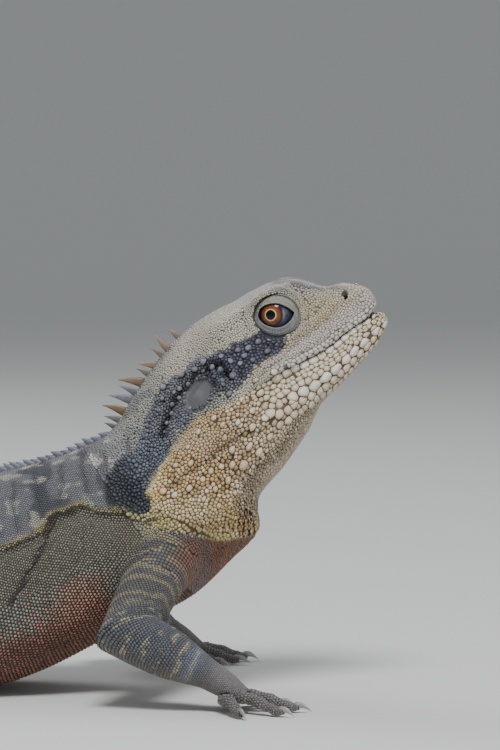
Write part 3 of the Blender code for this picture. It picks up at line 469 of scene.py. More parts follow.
def relief(p, out):
    """Folds, creases and the ear's cup on the body: p moved along the outward directions."""
    a, b, c = head_place(p)
    px, py = side_view(p)
    ahead = fold_side(a, c)
    on_side = blend(4.0, 13.0, np.abs(b))
    jowl = JOWL_STAND * blend(-FOLD_WIDTH / 2, FOLD_WIDTH / 2, ahead) * (1 - blend(8, 30, ahead))
    jowl = jowl * (1 - 0.95 * blend(21, 31, -c) * blend(-2.0, 3.0, ahead)) * blend(0, 22, ahead + 22)
    behind = -1.1 * bell(ahead + 3.4, 2.6)
    amount = (jowl + behind) * on_side * blend(57, 75, a) * (1 - blend(95, 103, a))
    # The ear's cup and its rim, and the fold behind it
    r = ear_round(a, c)
    amount = amount - EAR_DEPTH * (1 - blend(0.80, 1.10, r)) * on_side
    amount = amount + 0.5 * bell(r - 1.28, 0.22) * (c > EAR_AT[1] - 2) * on_side
    fold, _, _ = line_place(px, py, EAR_FOLD)
    amount = amount - 1.7 * bell(fold, 3.4) * on_side
    amount = amount + 0.6 * bell(fold - 9.0, 4.0) * on_side * (py < 400)
    # The throat's pleats and the ring fold round the lids
    ring = from_eye(px, py)
    amount = amount + 0.5 * pleats(px, py) * blend(2, 7, np.abs(b))
    amount = amount + (0.35 * bell(ring - 7.9, 0.7) - 0.3 * bell(ring - 9.3, 0.5)) * on_side
    # The ridge along the flank, then all creases
    off, side, _ = line_place(px, py, RIDGE)
    below = off * side
    step = 0.9 * bell(below + 3, 5.0) - 0.9 * bell(below - 5, 4.5)
    amount = amount + step * blend(60, 70, a) * on_side
    for line, width, depth in CREASES:
        off, _, share = line_place(px, py, line)
        ends = blend(0, 0.2, share) * (1 - blend(0.8, 1, share))
        amount = amount - depth * bell(off, width) * (0.35 + 0.65 * ends) * on_side
    return p + out * amount[..., None]


def frame_along(path):
    """For points along a path: across and up directions that turn with it."""
    return across_and_up(unit(np.gradient(path, axis=0)))


def oval(path, across, up, wide, high, around):
    """Rings of ovals about the points of a path."""
    angle = np.linspace(0, 2 * math.pi, around, endpoint=False)
    wide, high = np.broadcast_to(wide, len(path)), np.broadcast_to(high, len(path))
    return (path[:, None] + across[:, None] * np.cos(angle)[None, :, None] * wide[:, None, None]
            + up[:, None] * np.sin(angle)[None, :, None] * high[:, None, None])


def paw_place(limb, kind):
    """The wrist or ankle, the knuckles' middle, the way ahead and the way to the body's inner side."""
    mirror = 1 if limb["joints"][2][1] < 0 else -1
    heading = math.radians(limb["heading"])
    start = np.array(limb["joints"][2], float)
    ahead = np.array([math.cos(heading), math.sin(heading), 0.0])
    side = np.array([-math.sin(heading), math.cos(heading), 0.0]) * mirror
    knuckle = start + ahead * kind["palm"]
    knuckle[2] = kind["thick"] + 0.9
    return start, knuckle, ahead, side


def limb_tube(limb, around, step):
    """Rings of a whole limb down to the wrist's palm or the ankle, mitred and rounded at its joints."""
    joints = [np.array(j, float) for j in limb["joints"]]
    sizes = [limb["upper"], limb["lower"]]
    if "heel" not in limb:
        _, knuckle, _, _ = paw_place(limb, HAND)
        joints.append(knuckle)
        sizes.append(([limb["lower"][0][-1], HAND["wide"] * 0.98, HAND["wide"] * 0.82],
                      [limb["lower"][1][-1], HAND["thick"] * 1.15, HAND["thick"] * 0.75]))
    ways = [unit(q - p) for p, q in spans(joints)]
    angle = np.linspace(0, 2 * math.pi, around, endpoint=False)
    rings, turned = [], None
    for number, ((start, end), way) in enumerate(zip(spans(joints), ways)):
        before = ways[number - 1] if number else None
        after = ways[number + 1] if number + 1 < len(ways) else None
        across, up = across_and_up(way)
        if turned is not None:
            normal = unit(before + way)
            mirrored = turned - 2 * (turned @ normal)[:, None] * normal
            angle = np.arctan2(mirrored @ up, mirrored @ across)
        turned = across * np.cos(angle)[:, None] + up * np.sin(angle)[:, None]
        length = np.linalg.norm(end - start)
        u = np.linspace(0, 1, max(4, round(length / step)))
        wide, thick = (smooth([0, 0.5, 1], k, u)[:, None, None] for k in sizes[number])
        radial = across * np.cos(angle)[None, :, None] * wide + up * np.sin(angle)[None, :, None] * thick
        u = u[:, None]
        shift = np.zeros(radial.shape[:2])
        for other, strength, sign in ((before, (1 - u) ** 2, 1), (after, u ** 2, -1)):
            if other is None:
                continue
            half_turn = math.acos(np.clip(way @ other, -1, 1)) / 2
            if half_turn > 0.05:
                corner = unit((other - way) * sign)
                excess = 1 - min(1.0, 1.1 * math.cos(half_turn))
                push = excess * np.maximum(0, radial @ corner) * strength
                radial = radial - corner * push[..., None]
            normal = unit(way + other)
            shift += strength * -(radial @ normal) / (way @ normal)
        piece = start + way * (u * length)[..., None] + radial + way * shift[..., None]
        rings.append(piece if number == 0 else piece[1:])
    return np.concatenate(rings)


def sole_rings(limb, around, count):
    """Rings of the hind foot's sole, from the rounded heel to the knuckles."""
    start, knuckle, _, _ = paw_place(limb, FOOT)
    start = start - (knuckle - start) * limb["heel"] / FOOT["palm"]
    start[2] = FOOT["thick"] + 0.6
    u = np.linspace(0, 1, count)
    path = start + (knuckle - start) * u[:, None]
    knots = [0, 0.12, 0.3, 0.75, 1]
    wide = np.interp(u, knots, [0.5, 0.78, 0.85, 1.0, 0.85]) * FOOT["wide"]
    thick = np.interp(u, knots, [0.6, 1.05, 1.2, 0.95, 0.7]) * FOOT["thick"]
    across, up = frame_along(path)
    return oval(path, across, up, wide, thick, around)


def digit_lines(limb, kind):
    """For each digit: points along its middle, its radii, and where its claw starts and points."""
    start, knuckle, ahead, side = paw_place(limb, kind)
    mirror = 1 if start[1] < 0 else -1
    heading = math.radians(limb["heading"])
    made = []
    for turn, reach, place in kind["digits"]:
        way = heading + math.radians(turn) * mirror
        out = np.array([math.cos(way), math.sin(way), 0.0])
        root = knuckle - ahead * (3.0 + abs(place) * 2.6) + side * place * kind["wide"] * 0.74
        root[2] = knuckle[2] - 0.5
        r = kind["digit"]
        bend = np.linspace(0, 1, 40)
        arch = 1.4 * np.sin(math.pi * np.minimum(1, bend * 1.15)) * min(1.4, reach / 12)
        low = root[2] + (r * 0.78 - root[2]) * blend(0, 0.75, bend)
        line = np.array([root + out * (reach + 3) * u for u in bend])
        line[:, 2] = low + arch
        joints = 1 + 0.09 * np.cos((bend * (2 + reach / 12) + 0.15) * 2 * math.pi)
        radii = r * np.interp(bend, [0, 0.2, 0.8, 1], [1.05, 1.0, 0.84, 0.62]) * joints
        made.append((line, radii, out))
    return made


class Tube:
    """A stack of rings with the outward and tailward directions at each point."""

    def __init__(self, name, rings, island, along=None):
        self.name, self.rings, self.island = name, rings, island
        self.out = outward(rings)
        self.lie = unit(np.gradient(rings, axis=0))
        self.along = np.arange(len(rings)) if along is None else along

    def at(self, i, j, grid=None):
        """Values of a grid at fractional ring and column numbers."""
        grid = self.rings if grid is None else grid
        n, m = grid.shape[:2]
        i0 = np.clip(np.floor(i).astype(int), 0, n - 2)
        j0 = np.floor(j).astype(int)
        u, v = (i - i0)[:, None], (j - j0)[:, None]
        j0, j1 = j0 % m, (j0 + 1) % m
        return ((grid[i0, j0] * (1 - v) + grid[i0, j1] * v) * (1 - u)
                + (grid[i0 + 1, j0] * (1 - v) + grid[i0 + 1, j1] * v) * u)


BODY_COLUMNS = 144


def make_tubes():
    """Every rounded length of the animal as a tube, before the skin's depth comes off."""
    s = np.concatenate([np.arange(KNOTS[0], 52, 0.7), np.arange(52, SHOULDER + 8, 0.9),
                        np.arange(SHOULDER + 8, VENT, 1.6), np.linspace(VENT, KNOTS[-1], 190)])
    rings = body_rings(s, BODY_COLUMNS)
    rings = relief(rings, outward(rings))
    tubes = [Tube("body", rings, (0.005, 0.005, 0.99, 0.5), s)]
    for place, (name, limb, kind) in enumerate(LIMBS):
        x = 0.005 + 0.248 * place
        tubes.append(Tube(name, limb_tube(limb, 48, 1.2), (x, 0.51, 0.23, 0.2)))
        if "heel" in limb:
            tubes.append(Tube(name + "_sole", sole_rings(limb, 32, 24), (x, 0.72, 0.23, 0.08)))
        for number, (line, radii, _) in enumerate(digit_lines(limb, kind)):
            rings = oval(line, *frame_along(line), radii, radii * 0.95, 16)
            tubes.append(Tube(f"{name}_digit_{number}", rings, (x, 0.81 + 0.036 * number, 0.23, 0.03)))
    for tube in tubes:
        tube.rings[..., 2] = np.maximum(tube.rings[..., 2], 0.0)
    return tubes


# Making meshes

MERGE, FINE_MERGE = 0.000002, 0.0000005     # how near points are merged, in metres


def mesh_object(name, points, faces):
    """A mesh object from points in millimetres and a list of face index arrays."""
    mesh = bpy.data.meshes.new(name)
    points = (np.asarray(points, float) + SHIFT) / 1000
    mesh.vertices.add(len(points))
    mesh.vertices.foreach_set("co", points.ravel())
    sizes = np.concatenate([np.full(len(f), f.shape[1]) for f in faces])
    loops = np.concatenate([np.asarray(f).ravel() for f in faces])
    starts = running(sizes[:-1])
    mesh.loops.add(len(loops))
    mesh.loops.foreach_set("vertex_index", loops.astype(np.int32))
    mesh.polygons.add(len(sizes))
    mesh.polygons.foreach_set("loop_start", starts.astype(np.int32))
    mesh.polygons.foreach_set("use_smooth", np.full(len(sizes), True))
    mesh.update(calc_edges=True)
    obj = bpy.data.objects.new(name, mesh)
    bpy.context.scene.collection.objects.link(obj)
    return obj


def grid_quads(i, j, next_i, next_j, around):
    """Quads between rings i and next_i and columns j and next_j."""
    corners = [i * around + j, i * around + next_j, next_i * around + next_j, next_i * around + j]
    return np.stack(corners, -1).reshape(-1, 4)


def tube_faces(count, around):
    """Quads of a stack of rings, and the two caps."""
    i, j = np.meshgrid(np.arange(count - 1), np.arange(around), indexing="ij")
    caps = np.array([np.arange(around)[::-1], (count - 1) * around + np.arange(around)])
    return grid_quads(i, j, i + 1, (j + 1) % around, around), caps


def read_points(mesh):
    """A mesh's points, in millimetres in the shape's own place."""
    points = np.zeros(len(mesh.vertices) * 3)
    mesh.vertices.foreach_get("co", points)
    return points.reshape(-1, 3) * 1000 - SHIFT


def write_points(mesh, points):
    """Moves a mesh's points, given as read_points gives them."""
    mesh.vertices.foreach_set("co", ((points + SHIFT) / 1000).ravel())
    mesh.update()


def evaluated_mesh(obj):
    """The mesh that an object's modifiers make."""
    bpy.context.view_layer.update()
    return bpy.data.meshes.new_from_object(obj.evaluated_get(bpy.context.evaluated_depsgraph_get()))


def tidy_mesh(obj, distance=MERGE):
    """Merges doubles and turns faces outwards."""
    bm = bmesh.new()
    bm.from_mesh(obj.data)
    bmesh.ops.remove_doubles(bm, verts=bm.verts, dist=distance)
    bmesh.ops.dissolve_degenerate(bm, edges=bm.edges, dist=distance / 4)
    bmesh.ops.recalc_face_normals(bm, faces=bm.faces)
    bm.to_mesh(obj.data)
    bm.free()
    obj.data.polygons.foreach_set("use_smooth", np.full(len(obj.data.polygons), True))


def boolean(obj, others, operation):
    """Joins or cuts obj by closed mesh objects, which are removed."""
    group = bpy.data.collections.new("pieces")
    bpy.context.scene.collection.children.link(group)
    for other in others:
        for holder in list(other.users_collection):
            holder.objects.unlink(other)
        group.objects.link(other)
    modifier = obj.modifiers.new("join", "BOOLEAN")
    modifier.operand_type = "COLLECTION"
    modifier.collection = group
    modifier.operation = operation
    modifier.solver = "MANIFOLD"
    made = evaluated_mesh(obj)
    obj.modifiers.clear()
    obj.data = made
    for other in others:
        bpy.data.objects.remove(other)
    bpy.data.collections.remove(group)


def set_values(mesh, name, values, kind="FLOAT_COLOR"):
    """Stores one value a vertex."""
    values, field = np.asarray(values, float), "value"
    if kind == "FLOAT_COLOR":
        values, field = np.concatenate([values, np.ones((len(values), 1))], 1), "color"
    mesh.attributes.new(name, kind, "POINT").data.foreach_set(field, values.astype(np.float32).ravel())


def cutter(name, points, count, around):
    """A closed object of rings, to cut with."""
    obj = mesh_object(name, points.reshape(-1, 3), tube_faces(count, around))
    tidy_mesh(obj)
    return obj


def peg(start, way, length, wide, high, sides=48):
    """A straight oval peg along a direction, to cut a hole with."""
    way = unit(way)
    across, up = across_and_up(way)
    path = np.array([start, start + way * length])
    rings = oval(path, np.array([across] * 2), np.array([up] * 2), wide, high, sides)
    return cutter("peg", rings, 2, sides)


def ball(centre, radius, count=40):
    """A round ball, to cut a socket with."""
    theta = np.linspace(0.02, math.pi - 0.02, count)[:, None]
    phi = np.linspace(0, 2 * math.pi, count * 2, endpoint=False)
    points = np.stack([np.sin(theta) * np.cos(phi), np.sin(theta) * np.sin(phi),
                       np.repeat(np.cos(theta), len(phi), 1)], -1) * radius + centre
    return cutter("ball", points, count, len(phi))


def eye_centre(side):
    """Centre of the eyeball; side is -1 on the right and 1 on the left."""
    return head_point(EYE_AT[0], side * EYE_OUT, EYE_AT[1])


# Colours

def srgb(*values):
    """A colour from its 0 to 255 screen values."""
    c = np.array(values, float) / 255
    return np.where(c <= 0.04045, c / 12.92, ((c + 0.055) / 1.055) ** 2.4)


def ripple(p, size, seed=0):
    """Smooth noise from -1 to 1 over points, about size millimetres across."""
    rng = np.random.default_rng(seed)
    total = np.zeros(p.shape[:-1])
    for _ in range(7):
        way = unit(rng.normal(size=3))
        total += np.sin((p @ way) * 2 * math.pi / (size * rng.uniform(0.7, 1.6)) + rng.uniform(0, 6.3))
    return total / 3.2


# Markings, in photo pixels
BAND = [(283, 331), (262, 331), (249, 338), (233, 344), (223, 351), (213, 353), (199, 357),
        (190, 366), (178, 376), (162, 384), (155, 396), (151, 409), (146, 426), (140, 442),
        (136, 453), (118, 459), (109, 469), (106, 493), (111, 502), (118, 511), (131, 516),
        (141, 514), (153, 511), (151, 499), (146, 491), (151, 479), (159, 468), (168, 458),
        (171, 447), (172, 434), (186, 428), (195, 414), (208, 408), (217, 398), (227, 396),
        (237, 389), (245, 380), (250, 371), (256, 365), (269, 357), (284, 347)]
PATCH = [(118, 459), (136, 452), (143, 467), (144, 485), (152, 499), (153, 512), (141, 514),
         (131, 517), (118, 511), (110, 502), (106, 493), (107, 478)]
BAND_EYE = [(292, 328), (262, 330), (240, 341), (214, 352), (205, 372), (222, 378), (245, 380),
            (262, 362), (290, 345)]
NAPE_TAN = [(166, 360), (180, 330), (215, 296), (240, 290), (232, 332), (205, 352), (186, 372),
            (160, 392)]
CROWN_GREY = [(238, 292), (262, 280), (300, 276), (322, 283), (318, 296), (290, 291), (262, 291),
              (246, 304)]
THROAT = [(318, 402), (300, 430), (283, 452), (270, 480), (268, 512), (252, 520), (233, 508),
          (240, 480), (262, 458), (285, 430), (300, 412)]
RUST_CHEST = [(168, 520), (200, 532), (240, 534), (275, 536), (262, 556), (240, 585), (214, 606),
              (188, 612), (178, 572), (172, 545)]
FLANK = [(-90, 560), (20, 540), (62, 515), (108, 520), (128, 540), (110, 600), (110, 660),
         (60, 720), (-90, 740)]
RUST_SIDE = [(-60, 640), (20, 632), (55, 610), (76, 574), (100, 570), (120, 596), (124, 640),
             (90, 690), (0, 740), (-90, 740)]
# A painted shadow under the brow's edge
BROW_SHADOW = [(272, 283), (300, 283), (312, 288), (322, 291), (340, 288), (352, 286)]
EYE_LINE = [(350, 300), (322, 318), (300, 336), (278, 350), (262, 362), (250, 376)]
DARK_FRONT = [(176, 528), (206, 530), (214, 556), (206, 590), (192, 596), (186, 560)]


class Coat:
    """Points to paint: where they are in the head's axes and in the photo, and their colours so far."""

    def __init__(self, p, along, around, normal):
        self.p, self.along, self.around, self.normal = p, along, around, normal
        self.a, self.b, self.c = head_place(p)
        self.wobble = np.stack([ripple(p, 9, 3), ripple(p, 9, 4)], -1) * 1.6
        fine = np.stack([ripple(p, 2.6, 5), ripple(p, 2.6, 6)], -1) * 1.5
        px, py = side_view(p)
        self.px, self.py = px + self.wobble[:, 0] + fine[:, 0], py + self.wobble[:, 1] + fine[:, 1]
        self.under = blend(0.1, 0.75, -normal[:, 2])
        self.crown, self.gap = np.zeros((len(p), 3)), np.zeros((len(p), 3))

    def lay(self, mask, light, dark):
        """Lays a crown and a gap colour over the points, as far as the mask says."""
        mask = np.clip(mask, 0, 1)[:, None]
        self.crown = self.crown * (1 - mask) + srgb(*light) * mask
        self.gap = self.gap * (1 - mask) + srgb(*dark) * mask

    def fill(self, light, dark):
        """Lays colours everywhere."""
        self.lay(np.ones(len(self.p)), light, dark)

    def draw(self, line, width, amount, light, dark, mask=1.0, fade=0.0):
        """Lays colours along a line of the photo, fading in over a share of its length."""
        off, _, share = line_place(self.px, self.py, line)
        start = blend(0, fade, share) if fade else 1.0
        self.lay(mask * bell(off, width) * start * amount, light, dark)


def paint_trunk(coat):
    """Slate back with pale specks and dark cross bands, olive flank, rust below."""
    px, py, along = coat.px, coat.py, coat.along
    coat.neck = 1 - blend(SHOULDER - 12, SHOULDER + 14, along)
    coat.tail = blend(VENT - 16, VENT + 14, along)
    coat.height = height = 1 - np.abs(coat.around)     # 1 on the back's middle line, 0 on the belly's
    bands = blend(0.1, 0.7, np.sin((along - SHOULDER) * 2 * math.pi / 26 + coat.wobble[:, 0] * 0.5))
    coat.lay(bands * blend(0.4, 0.6, height) * (1 - coat.neck) * 0.8, (74, 76, 84), (30, 32, 38))
    specks = blend(0.45, 0.8, ripple(coat.p, 5.5, 11)) * blend(0.35, 0.5, height)
    coat.lay(specks * 0.85, (188, 186, 174), (96, 95, 90))
    off, side, _ = line_place(px, py, RIDGE)
    coat.ridge = off, side
    below = np.where(along > SHOULDER - 8, off * side, -99)
    flank = blend(-2, 8, below) * (px > -10) + (1 - blend(0.5, 0.64, height)) * (px <= -10)
    flank = np.clip(flank, 0, 1) * blend(SHOULDER - 16, SHOULDER - 4, along)
    coat.lay(flank, (130, 126, 110), (50, 48, 41))
    coat.lay(flank * blend(28, 75, below + (px <= -10) * 60), (140, 138, 128), (46, 47, 46))
    red = inside(px, py, RUST_SIDE, 18) * (px > -40) + (1 - blend(0.22, 0.40, height)) * (px <= 30)
    red = np.clip(red, 0, 1) * (1 - coat.neck) * (1 - coat.tail)
    patchy = np.clip(red * 1.4 - 0.4 + 0.5 * ripple(coat.p, 5, 71) * (1 - red ** 2), 0, 1)
    coat.lay(patchy * 0.8, (176, 134, 112), (42, 34, 31))
    coat.lay(red * blend(0.2, 0.9, coat.under + 0.2) * 0.8, (146, 98, 80), (48, 33, 29))
    # A lighter rust blot by the elbow: partly the flank's own rust, partly painted light that offsets
    # the arm's shadow
    coat.lay(blot(px, py, 86, 612, 30, 26, 1) * (1 - coat.neck) * 0.6, (206, 154, 126), (66, 45, 36))


def paint_tail(coat):
    """Dark and pale rings."""
    tail, along = coat.tail, coat.along
    ring = np.sin((along - VENT) * 2 * math.pi / (30 - 0.02 * (along - VENT)) + 0.8)
    ring = blend(-0.15, 0.35, ring + 0.25 * ripple(coat.p, 6, 21))
    coat.lay(tail, (134, 128, 112), (78, 74, 64))
    coat.lay(tail * ring, (70, 66, 62), (36, 34, 33))
    low = tail * (1 - blend(0.1, 0.32, coat.height)) * 0.7
    coat.lay(low * (1 - blend(VENT + 40, VENT + 140, along)), (150, 120, 96), (90, 66, 50))


def paint_head(coat):
    """Grey neck, and the head's tan, grey and pale areas above the mouth."""
    px, py, a, c = coat.px, coat.py, coat.a, coat.c
    coat.lay(coat.neck, (146, 145, 137), (46, 45, 41))
    coat.lay(coat.neck * blend(0.1, 0.6, ripple(coat.p, 7, 31)) * 0.7, (108, 109, 112), (36, 37, 40))
    coat.lay(1 - blend(44, 52, a), (176, 170, 156), (82, 76, 66))
    coat.lay(inside(px, py, NAPE_TAN, 8), (172, 163, 152), (88, 78, 70))
    coat.lay(blot(px, py, 238, 322, 26, 18), (182, 180, 166), (84, 80, 68))
    coat.lay(inside(px, py, CROWN_GREY, 4) * 0.85, (166, 164, 165), (70, 66, 68))
    # Painted shadow under the brow's edge
    coat.draw(BROW_SHADOW, 1.9, 0.8, (100, 90, 94), (52, 46, 50))
    coat.lay(blot(px, py, 318, 308, 26, 14), (176, 166, 144), (104, 92, 68))
    coat.lay(blend(332, 352, px) * (c > 0) * 0.8, (186, 175, 162), (108, 94, 82))
    height = c - mouth_line(a)
    lip = blend(-0.3, 0.3, height) * (1 - blend(4.2, 6.2, height)) * (1 - blend(30, 40, a))
    coat.lay(lip * blend(3, 6, np.abs(coat.b)), (182, 176, 170), (104, 92, 86))
    coat.draw(EYE_LINE, 2.4, 0.75, (166, 148, 122), (100, 82, 60))


def paint_jowl(coat):
    """Jowl, jaw and throat under the mouth's line and the dark band; painted shade in the neck's
    creases.
    """
    p, px, py, a, c, along = coat.p, coat.px, coat.py, coat.a, coat.c, coat.along
    ahead = np.where(a < 56, 30, fold_side(a, c))
    below_mouth = blend(-0.4, 0.4, -(c - np.where(a < 36, mouth_line(a), 0.10 * (a - 36)) - 0.2))
    for line in CHEEK_LINES:
        coat.draw(line, 1.7, 0.55, (146, 128, 106), (78, 64, 50), fade=0.15)
    jaw = below_mouth * blend(-1.0, 1.0, ahead) * (along < SHOULDER + 6)
    coat.jaw = jaw
    coat.lay(jaw, (196, 181, 156), (86, 69, 48))
    coat.lay(jaw * blend(44, 64, a), (182, 152, 104), (70, 49, 27))
    patches = jaw * blend(0.0, 0.8, ripple(p, 6, 41)) * blend(30, 50, a)
    coat.lay(patches * 0.55, (160, 128, 88), (96, 70, 38))
    pale = jaw * blend(0.2, 0.8, ripple(p, 1.9, 61)) * (0.5 - 0.25 * blend(44, 66, a))
    coat.lay(pale, (210, 198, 174), (92, 74, 50))
    brown = jaw * blend(0.2, 0.8, ripple(p, 2.3, 62)) * blend(36, 50, a)
    coat.lay(brown * 0.6, (138, 114, 80), (84, 64, 38))
    cheek = blot(px, py, 205, 440, 34, 15)
    coat.lay(jaw * cheek * 0.7, (186, 166, 138), (100, 80, 56))
    coat.draw(JOWL_CREASE, 3.0, 0.8, (128, 104, 74), (62, 47, 32), jaw, 0.15)
    for line in JOWL_LINES:
        coat.draw(line, 2.4, 0.6, (136, 108, 72), (62, 45, 28), jaw, 0.2)
    coat.lay(inside(px, py, THROAT, 5) * jaw, (142, 127, 104), (48, 39, 29))
    under_jaw = jaw * blend(0.35, 0.75, coat.under) * (1 - blend(45, 70, a))
    coat.lay(under_jaw, (176, 160, 138), (96, 76, 56))
    coat.lay(jaw * blend(70, 84, a) * blend(8, 20, -c) * 0.6, (136, 124, 92), (64, 56, 36))
    # Painted shade in the hollows of the throat's pleats
    coat.lay(jaw * blend(0.1, 0.8, -pleats(px, py)) * 0.45, (120, 104, 82), (60, 48, 36))
    coat.lay(blot(px, py, 190, 508, 34, 15) * jaw * 0.7, (190, 178, 140), (104, 88, 52))
    coat.lay(blot(px, py, 156, 480, 13, 22) * jaw * 0.75, (204, 160, 108), (112, 76, 42))
    edge = blend(-6, 0.5, ahead) * (1 - blend(0.5, 4, ahead)) * blend(70, 82, a - c * 0.3) * (a > 50)
    coat.lay(edge * 0.9, (196, 182, 130), (120, 100, 50))
    # Painted shade in the neck's creases
    for line in NECK_CREASES:
        off, _, share = line_place(px, py, line)
        shade = bell(off, 3.0) * blend(0, 0.2, share) * (1 - blend(0.8, 1, share)) * (1 - jaw)
        coat.lay(shade * 0.65 * (along < VENT), (76, 78, 86), (32, 33, 38))


def paint_band(coat):
    """The dark band from eye over ear to shoulder, the ear's drum, and a painted shadow in its fold."""
    px, py = coat.px, coat.py
    band = inside(px, py, BAND, 2.2) * (coat.along < SHOULDER + 12)
    coat.lay(band, (92, 94, 101), (15, 16, 21))
    coat.lay(band * inside(px, py, BAND_EYE, 6), (66, 68, 84), (18, 19, 28))
    coat.lay(inside(px, py, PATCH, 2.5), (49, 53, 62), (8, 9, 14))
    coat.lay(blot(px, py, 150, 455, 26, 26) * band * 0.6, (94, 100, 114), (44, 48, 60))
    coat.lay(blot(px, py, 183, 424, 14, 15) * band * 0.8, (106, 108, 116), (60, 62, 70))
    # Painted shadow in the fold over the ear's drum
    coat.draw(EAR_FOLD, 3.4, 1.0, (20, 21, 27), (8, 8, 11))
    drum = (1 - blend(0.86, 1.0, ear_round(coat.a, coat.c))) * (np.abs(coat.b) > 8)
    coat.lay(drum, (98, 98, 101), (88, 88, 92))


def paint_shoulder(coat):
    """The yellow ridge, a painted shadow under it, painted shade in the crease below, the rust chest."""
    px, py, along = coat.px, coat.py, coat.along
    off, side = coat.ridge
    near = bell(off - 1, 3.4) * (side < 0) * (along > SHOULDER - 34) * (px > 2)
    coat.lay(near * 0.8, (176, 166, 120), (84, 76, 48))
    # Painted shadow under the ridge
    shadow = bell(off - 1.5, 2.6) * (side > 0) * (along > SHOULDER - 30) * (px > 2)
    coat.lay(shadow * 0.9, (66, 60, 38), (26, 23, 14))
    # Painted shade in the side crease
    coat.draw(SIDE_CREASE, 2.4, 1.0, (60, 60, 62), (30, 30, 32), along > SHOULDER - 20)
    chest = inside(px, py, RUST_CHEST, 6) * (along > SHOULDER - 44)
    chest = chest * (1 - coat.jaw) * blend(526, 538, py)
    coat.lay(chest, (122, 84, 62), (44, 27, 20))
    front = blend(0.2, 0.7, coat.normal[:, 0]) * (1 - coat.jaw) * blend(505, 525, py)
    front = front * blend(SHOULDER - 44, SHOULDER - 30, along)
    front = front * (1 - blend(SHOULDER + 30, SHOULDER + 60, along))
    coat.lay(front * 0.8, (120, 82, 64), (46, 30, 24))
    dark = inside(px, py, DARK_FRONT, 4) * (along > SHOULDER - 30)
    coat.lay(dark * 0.8, (120, 110, 112), (36, 34, 44))
    pale_lines = blend(0.35, 0.8, np.sin(px * 0.9 + py * 0.35))
    coat.lay(pale_lines * chest * 0.25, (170, 120, 90), (80, 40, 30))


def paint_arm(coat, digit):
    """Slate foreleg with olive bars above and pale lines below, rust on its inner side."""
    along, turn, sway = coat.along, np.sin(coat.around * 6.28), coat.wobble[:, 0]
    coat.fill((86, 89, 95), (34, 36, 42))
    if digit:
        coat.fill((116, 113, 112), (60, 58, 60))
    else:
        upper = 1 - blend(0.40, 0.52, along)
        bar = blend(0.15, 0.7, np.sin(along * 2 * math.pi * 15 + sway * 0.9 + turn * 1.4))
        coat.lay(upper * 0.5, (116, 111, 100), (50, 47, 40))
        coat.lay(upper * (1 - bar) * 0.6, (80, 82, 84), (34, 35, 36))
        coat.lay(upper * bar * 0.55, (146, 135, 108), (66, 58, 44))
        lines = blend(0.2, 0.8, np.sin(along * 2 * math.pi * 20 + sway * 0.6 + turn * 1.2))
        lines = lines * blend(-0.3, 0.5, ripple(coat.p, 3.4, 51)) * (1 - blend(0.80, 0.86, along))
        coat.lay(lines * (1 - upper) * 0.75, (156, 150, 120), (80, 78, 62))
        coat.lay(bell(along - 0.80, 0.03) * 0.35, (128, 136, 156), (60, 68, 88))
        coat.lay(blend(0.82, 0.9, along), (118, 114, 114), (62, 60, 62))
        inner = blend(0.2, 0.8, coat.normal[:, 0]) * upper * (1 - blend(0.16, 0.3, along))
        coat.lay(inner * 0.8, (122, 84, 68), (48, 30, 26))
        coat.lay(coat.under * upper * 0.6, (150, 110, 84), (84, 56, 40))
    coat.lay(coat.under * (0.5 if digit else 0.3), (150, 138, 122), (90, 80, 70))


def paint_leg(coat, paw):
    """Grey hind leg with pale bars, rust below."""
    coat.fill((112, 110, 106), (56, 55, 54))
    bar = blend(0.0, 0.6, np.sin(coat.along * 2 * math.pi * 8 + coat.wobble[:, 0]))
    coat.lay(bar * (0.3 if paw else 0.8), (150, 144, 124), (84, 80, 68))
    coat.lay(coat.under * 0.7, (150, 112, 86), (92, 64, 48))


def paint(p, tube, along, around, normal):
    """Crown and gap colours of the scales at points, from where they are on the animal."""
    coat = Coat(p, along, around, normal)
    coat.fill((128, 129, 132), (64, 66, 72))
    if tube == "body":
        for area in (paint_trunk, paint_tail, paint_head, paint_jowl, paint_band, paint_shoulder):
            area(coat)
    elif tube.startswith("arm"):
        paint_arm(coat, "digit" in tube)
    else:
        paint_leg(coat, "digit" in tube or "sole" in tube)
    return coat.crown, coat.gap


def mouth_line(a):
    """The mouth line's height at a."""
    return smooth([-2.0] + [r[0] for r in HEAD], [1.2] + [r[6] for r in HEAD], a)


# Scales

PLAIN, WHITE, ROUND, TUBERCLE, LIP, JAW, LID = range(7)     # kinds of scales
SCUTE_PITCH = 1.12      # a scute's room, to its own size
HALF_PITCH = 0.62       # how far an unhindered scale reaches, to its pitch
GAP_REACH = 0.92        # skin farther than this from any root gets one of its own
PLAIN_SIDES = 6         # sides of the trunk's and tail's simpler scales


class Points:
    """Roots of scales: tube number, ring and column on it, place, directions and sizes."""

    def __init__(self, tube, i, j, pitch, longer=1.0, rise=0.22, sides=7, kind=PLAIN):
        count = len(i)
        self.tube = np.full(count, tube)
        self.i, self.j = np.asarray(i, float), np.asarray(j, float)
        self.pitch = np.broadcast_to(np.asarray(pitch, float), count).copy()
        self.longer = np.broadcast_to(np.asarray(longer, float), count).copy()
        self.rise = np.broadcast_to(np.asarray(rise, float), count).copy()
        self.sides = np.full(count, sides)
        self.kind = np.full(count, kind)

    @classmethod
    def joined(cls, groups):
        """All groups as one."""
        made = cls(0, [], [], 1.0)
        for field in vars(groups[0]):
            setattr(made, field, np.concatenate([getattr(g, field) for g in groups]))
        return made

    def keep(self, mask):
        """Drops the points where mask is false."""
        for name, value in list(vars(self).items()):
            setattr(self, name, value[mask])
        return self


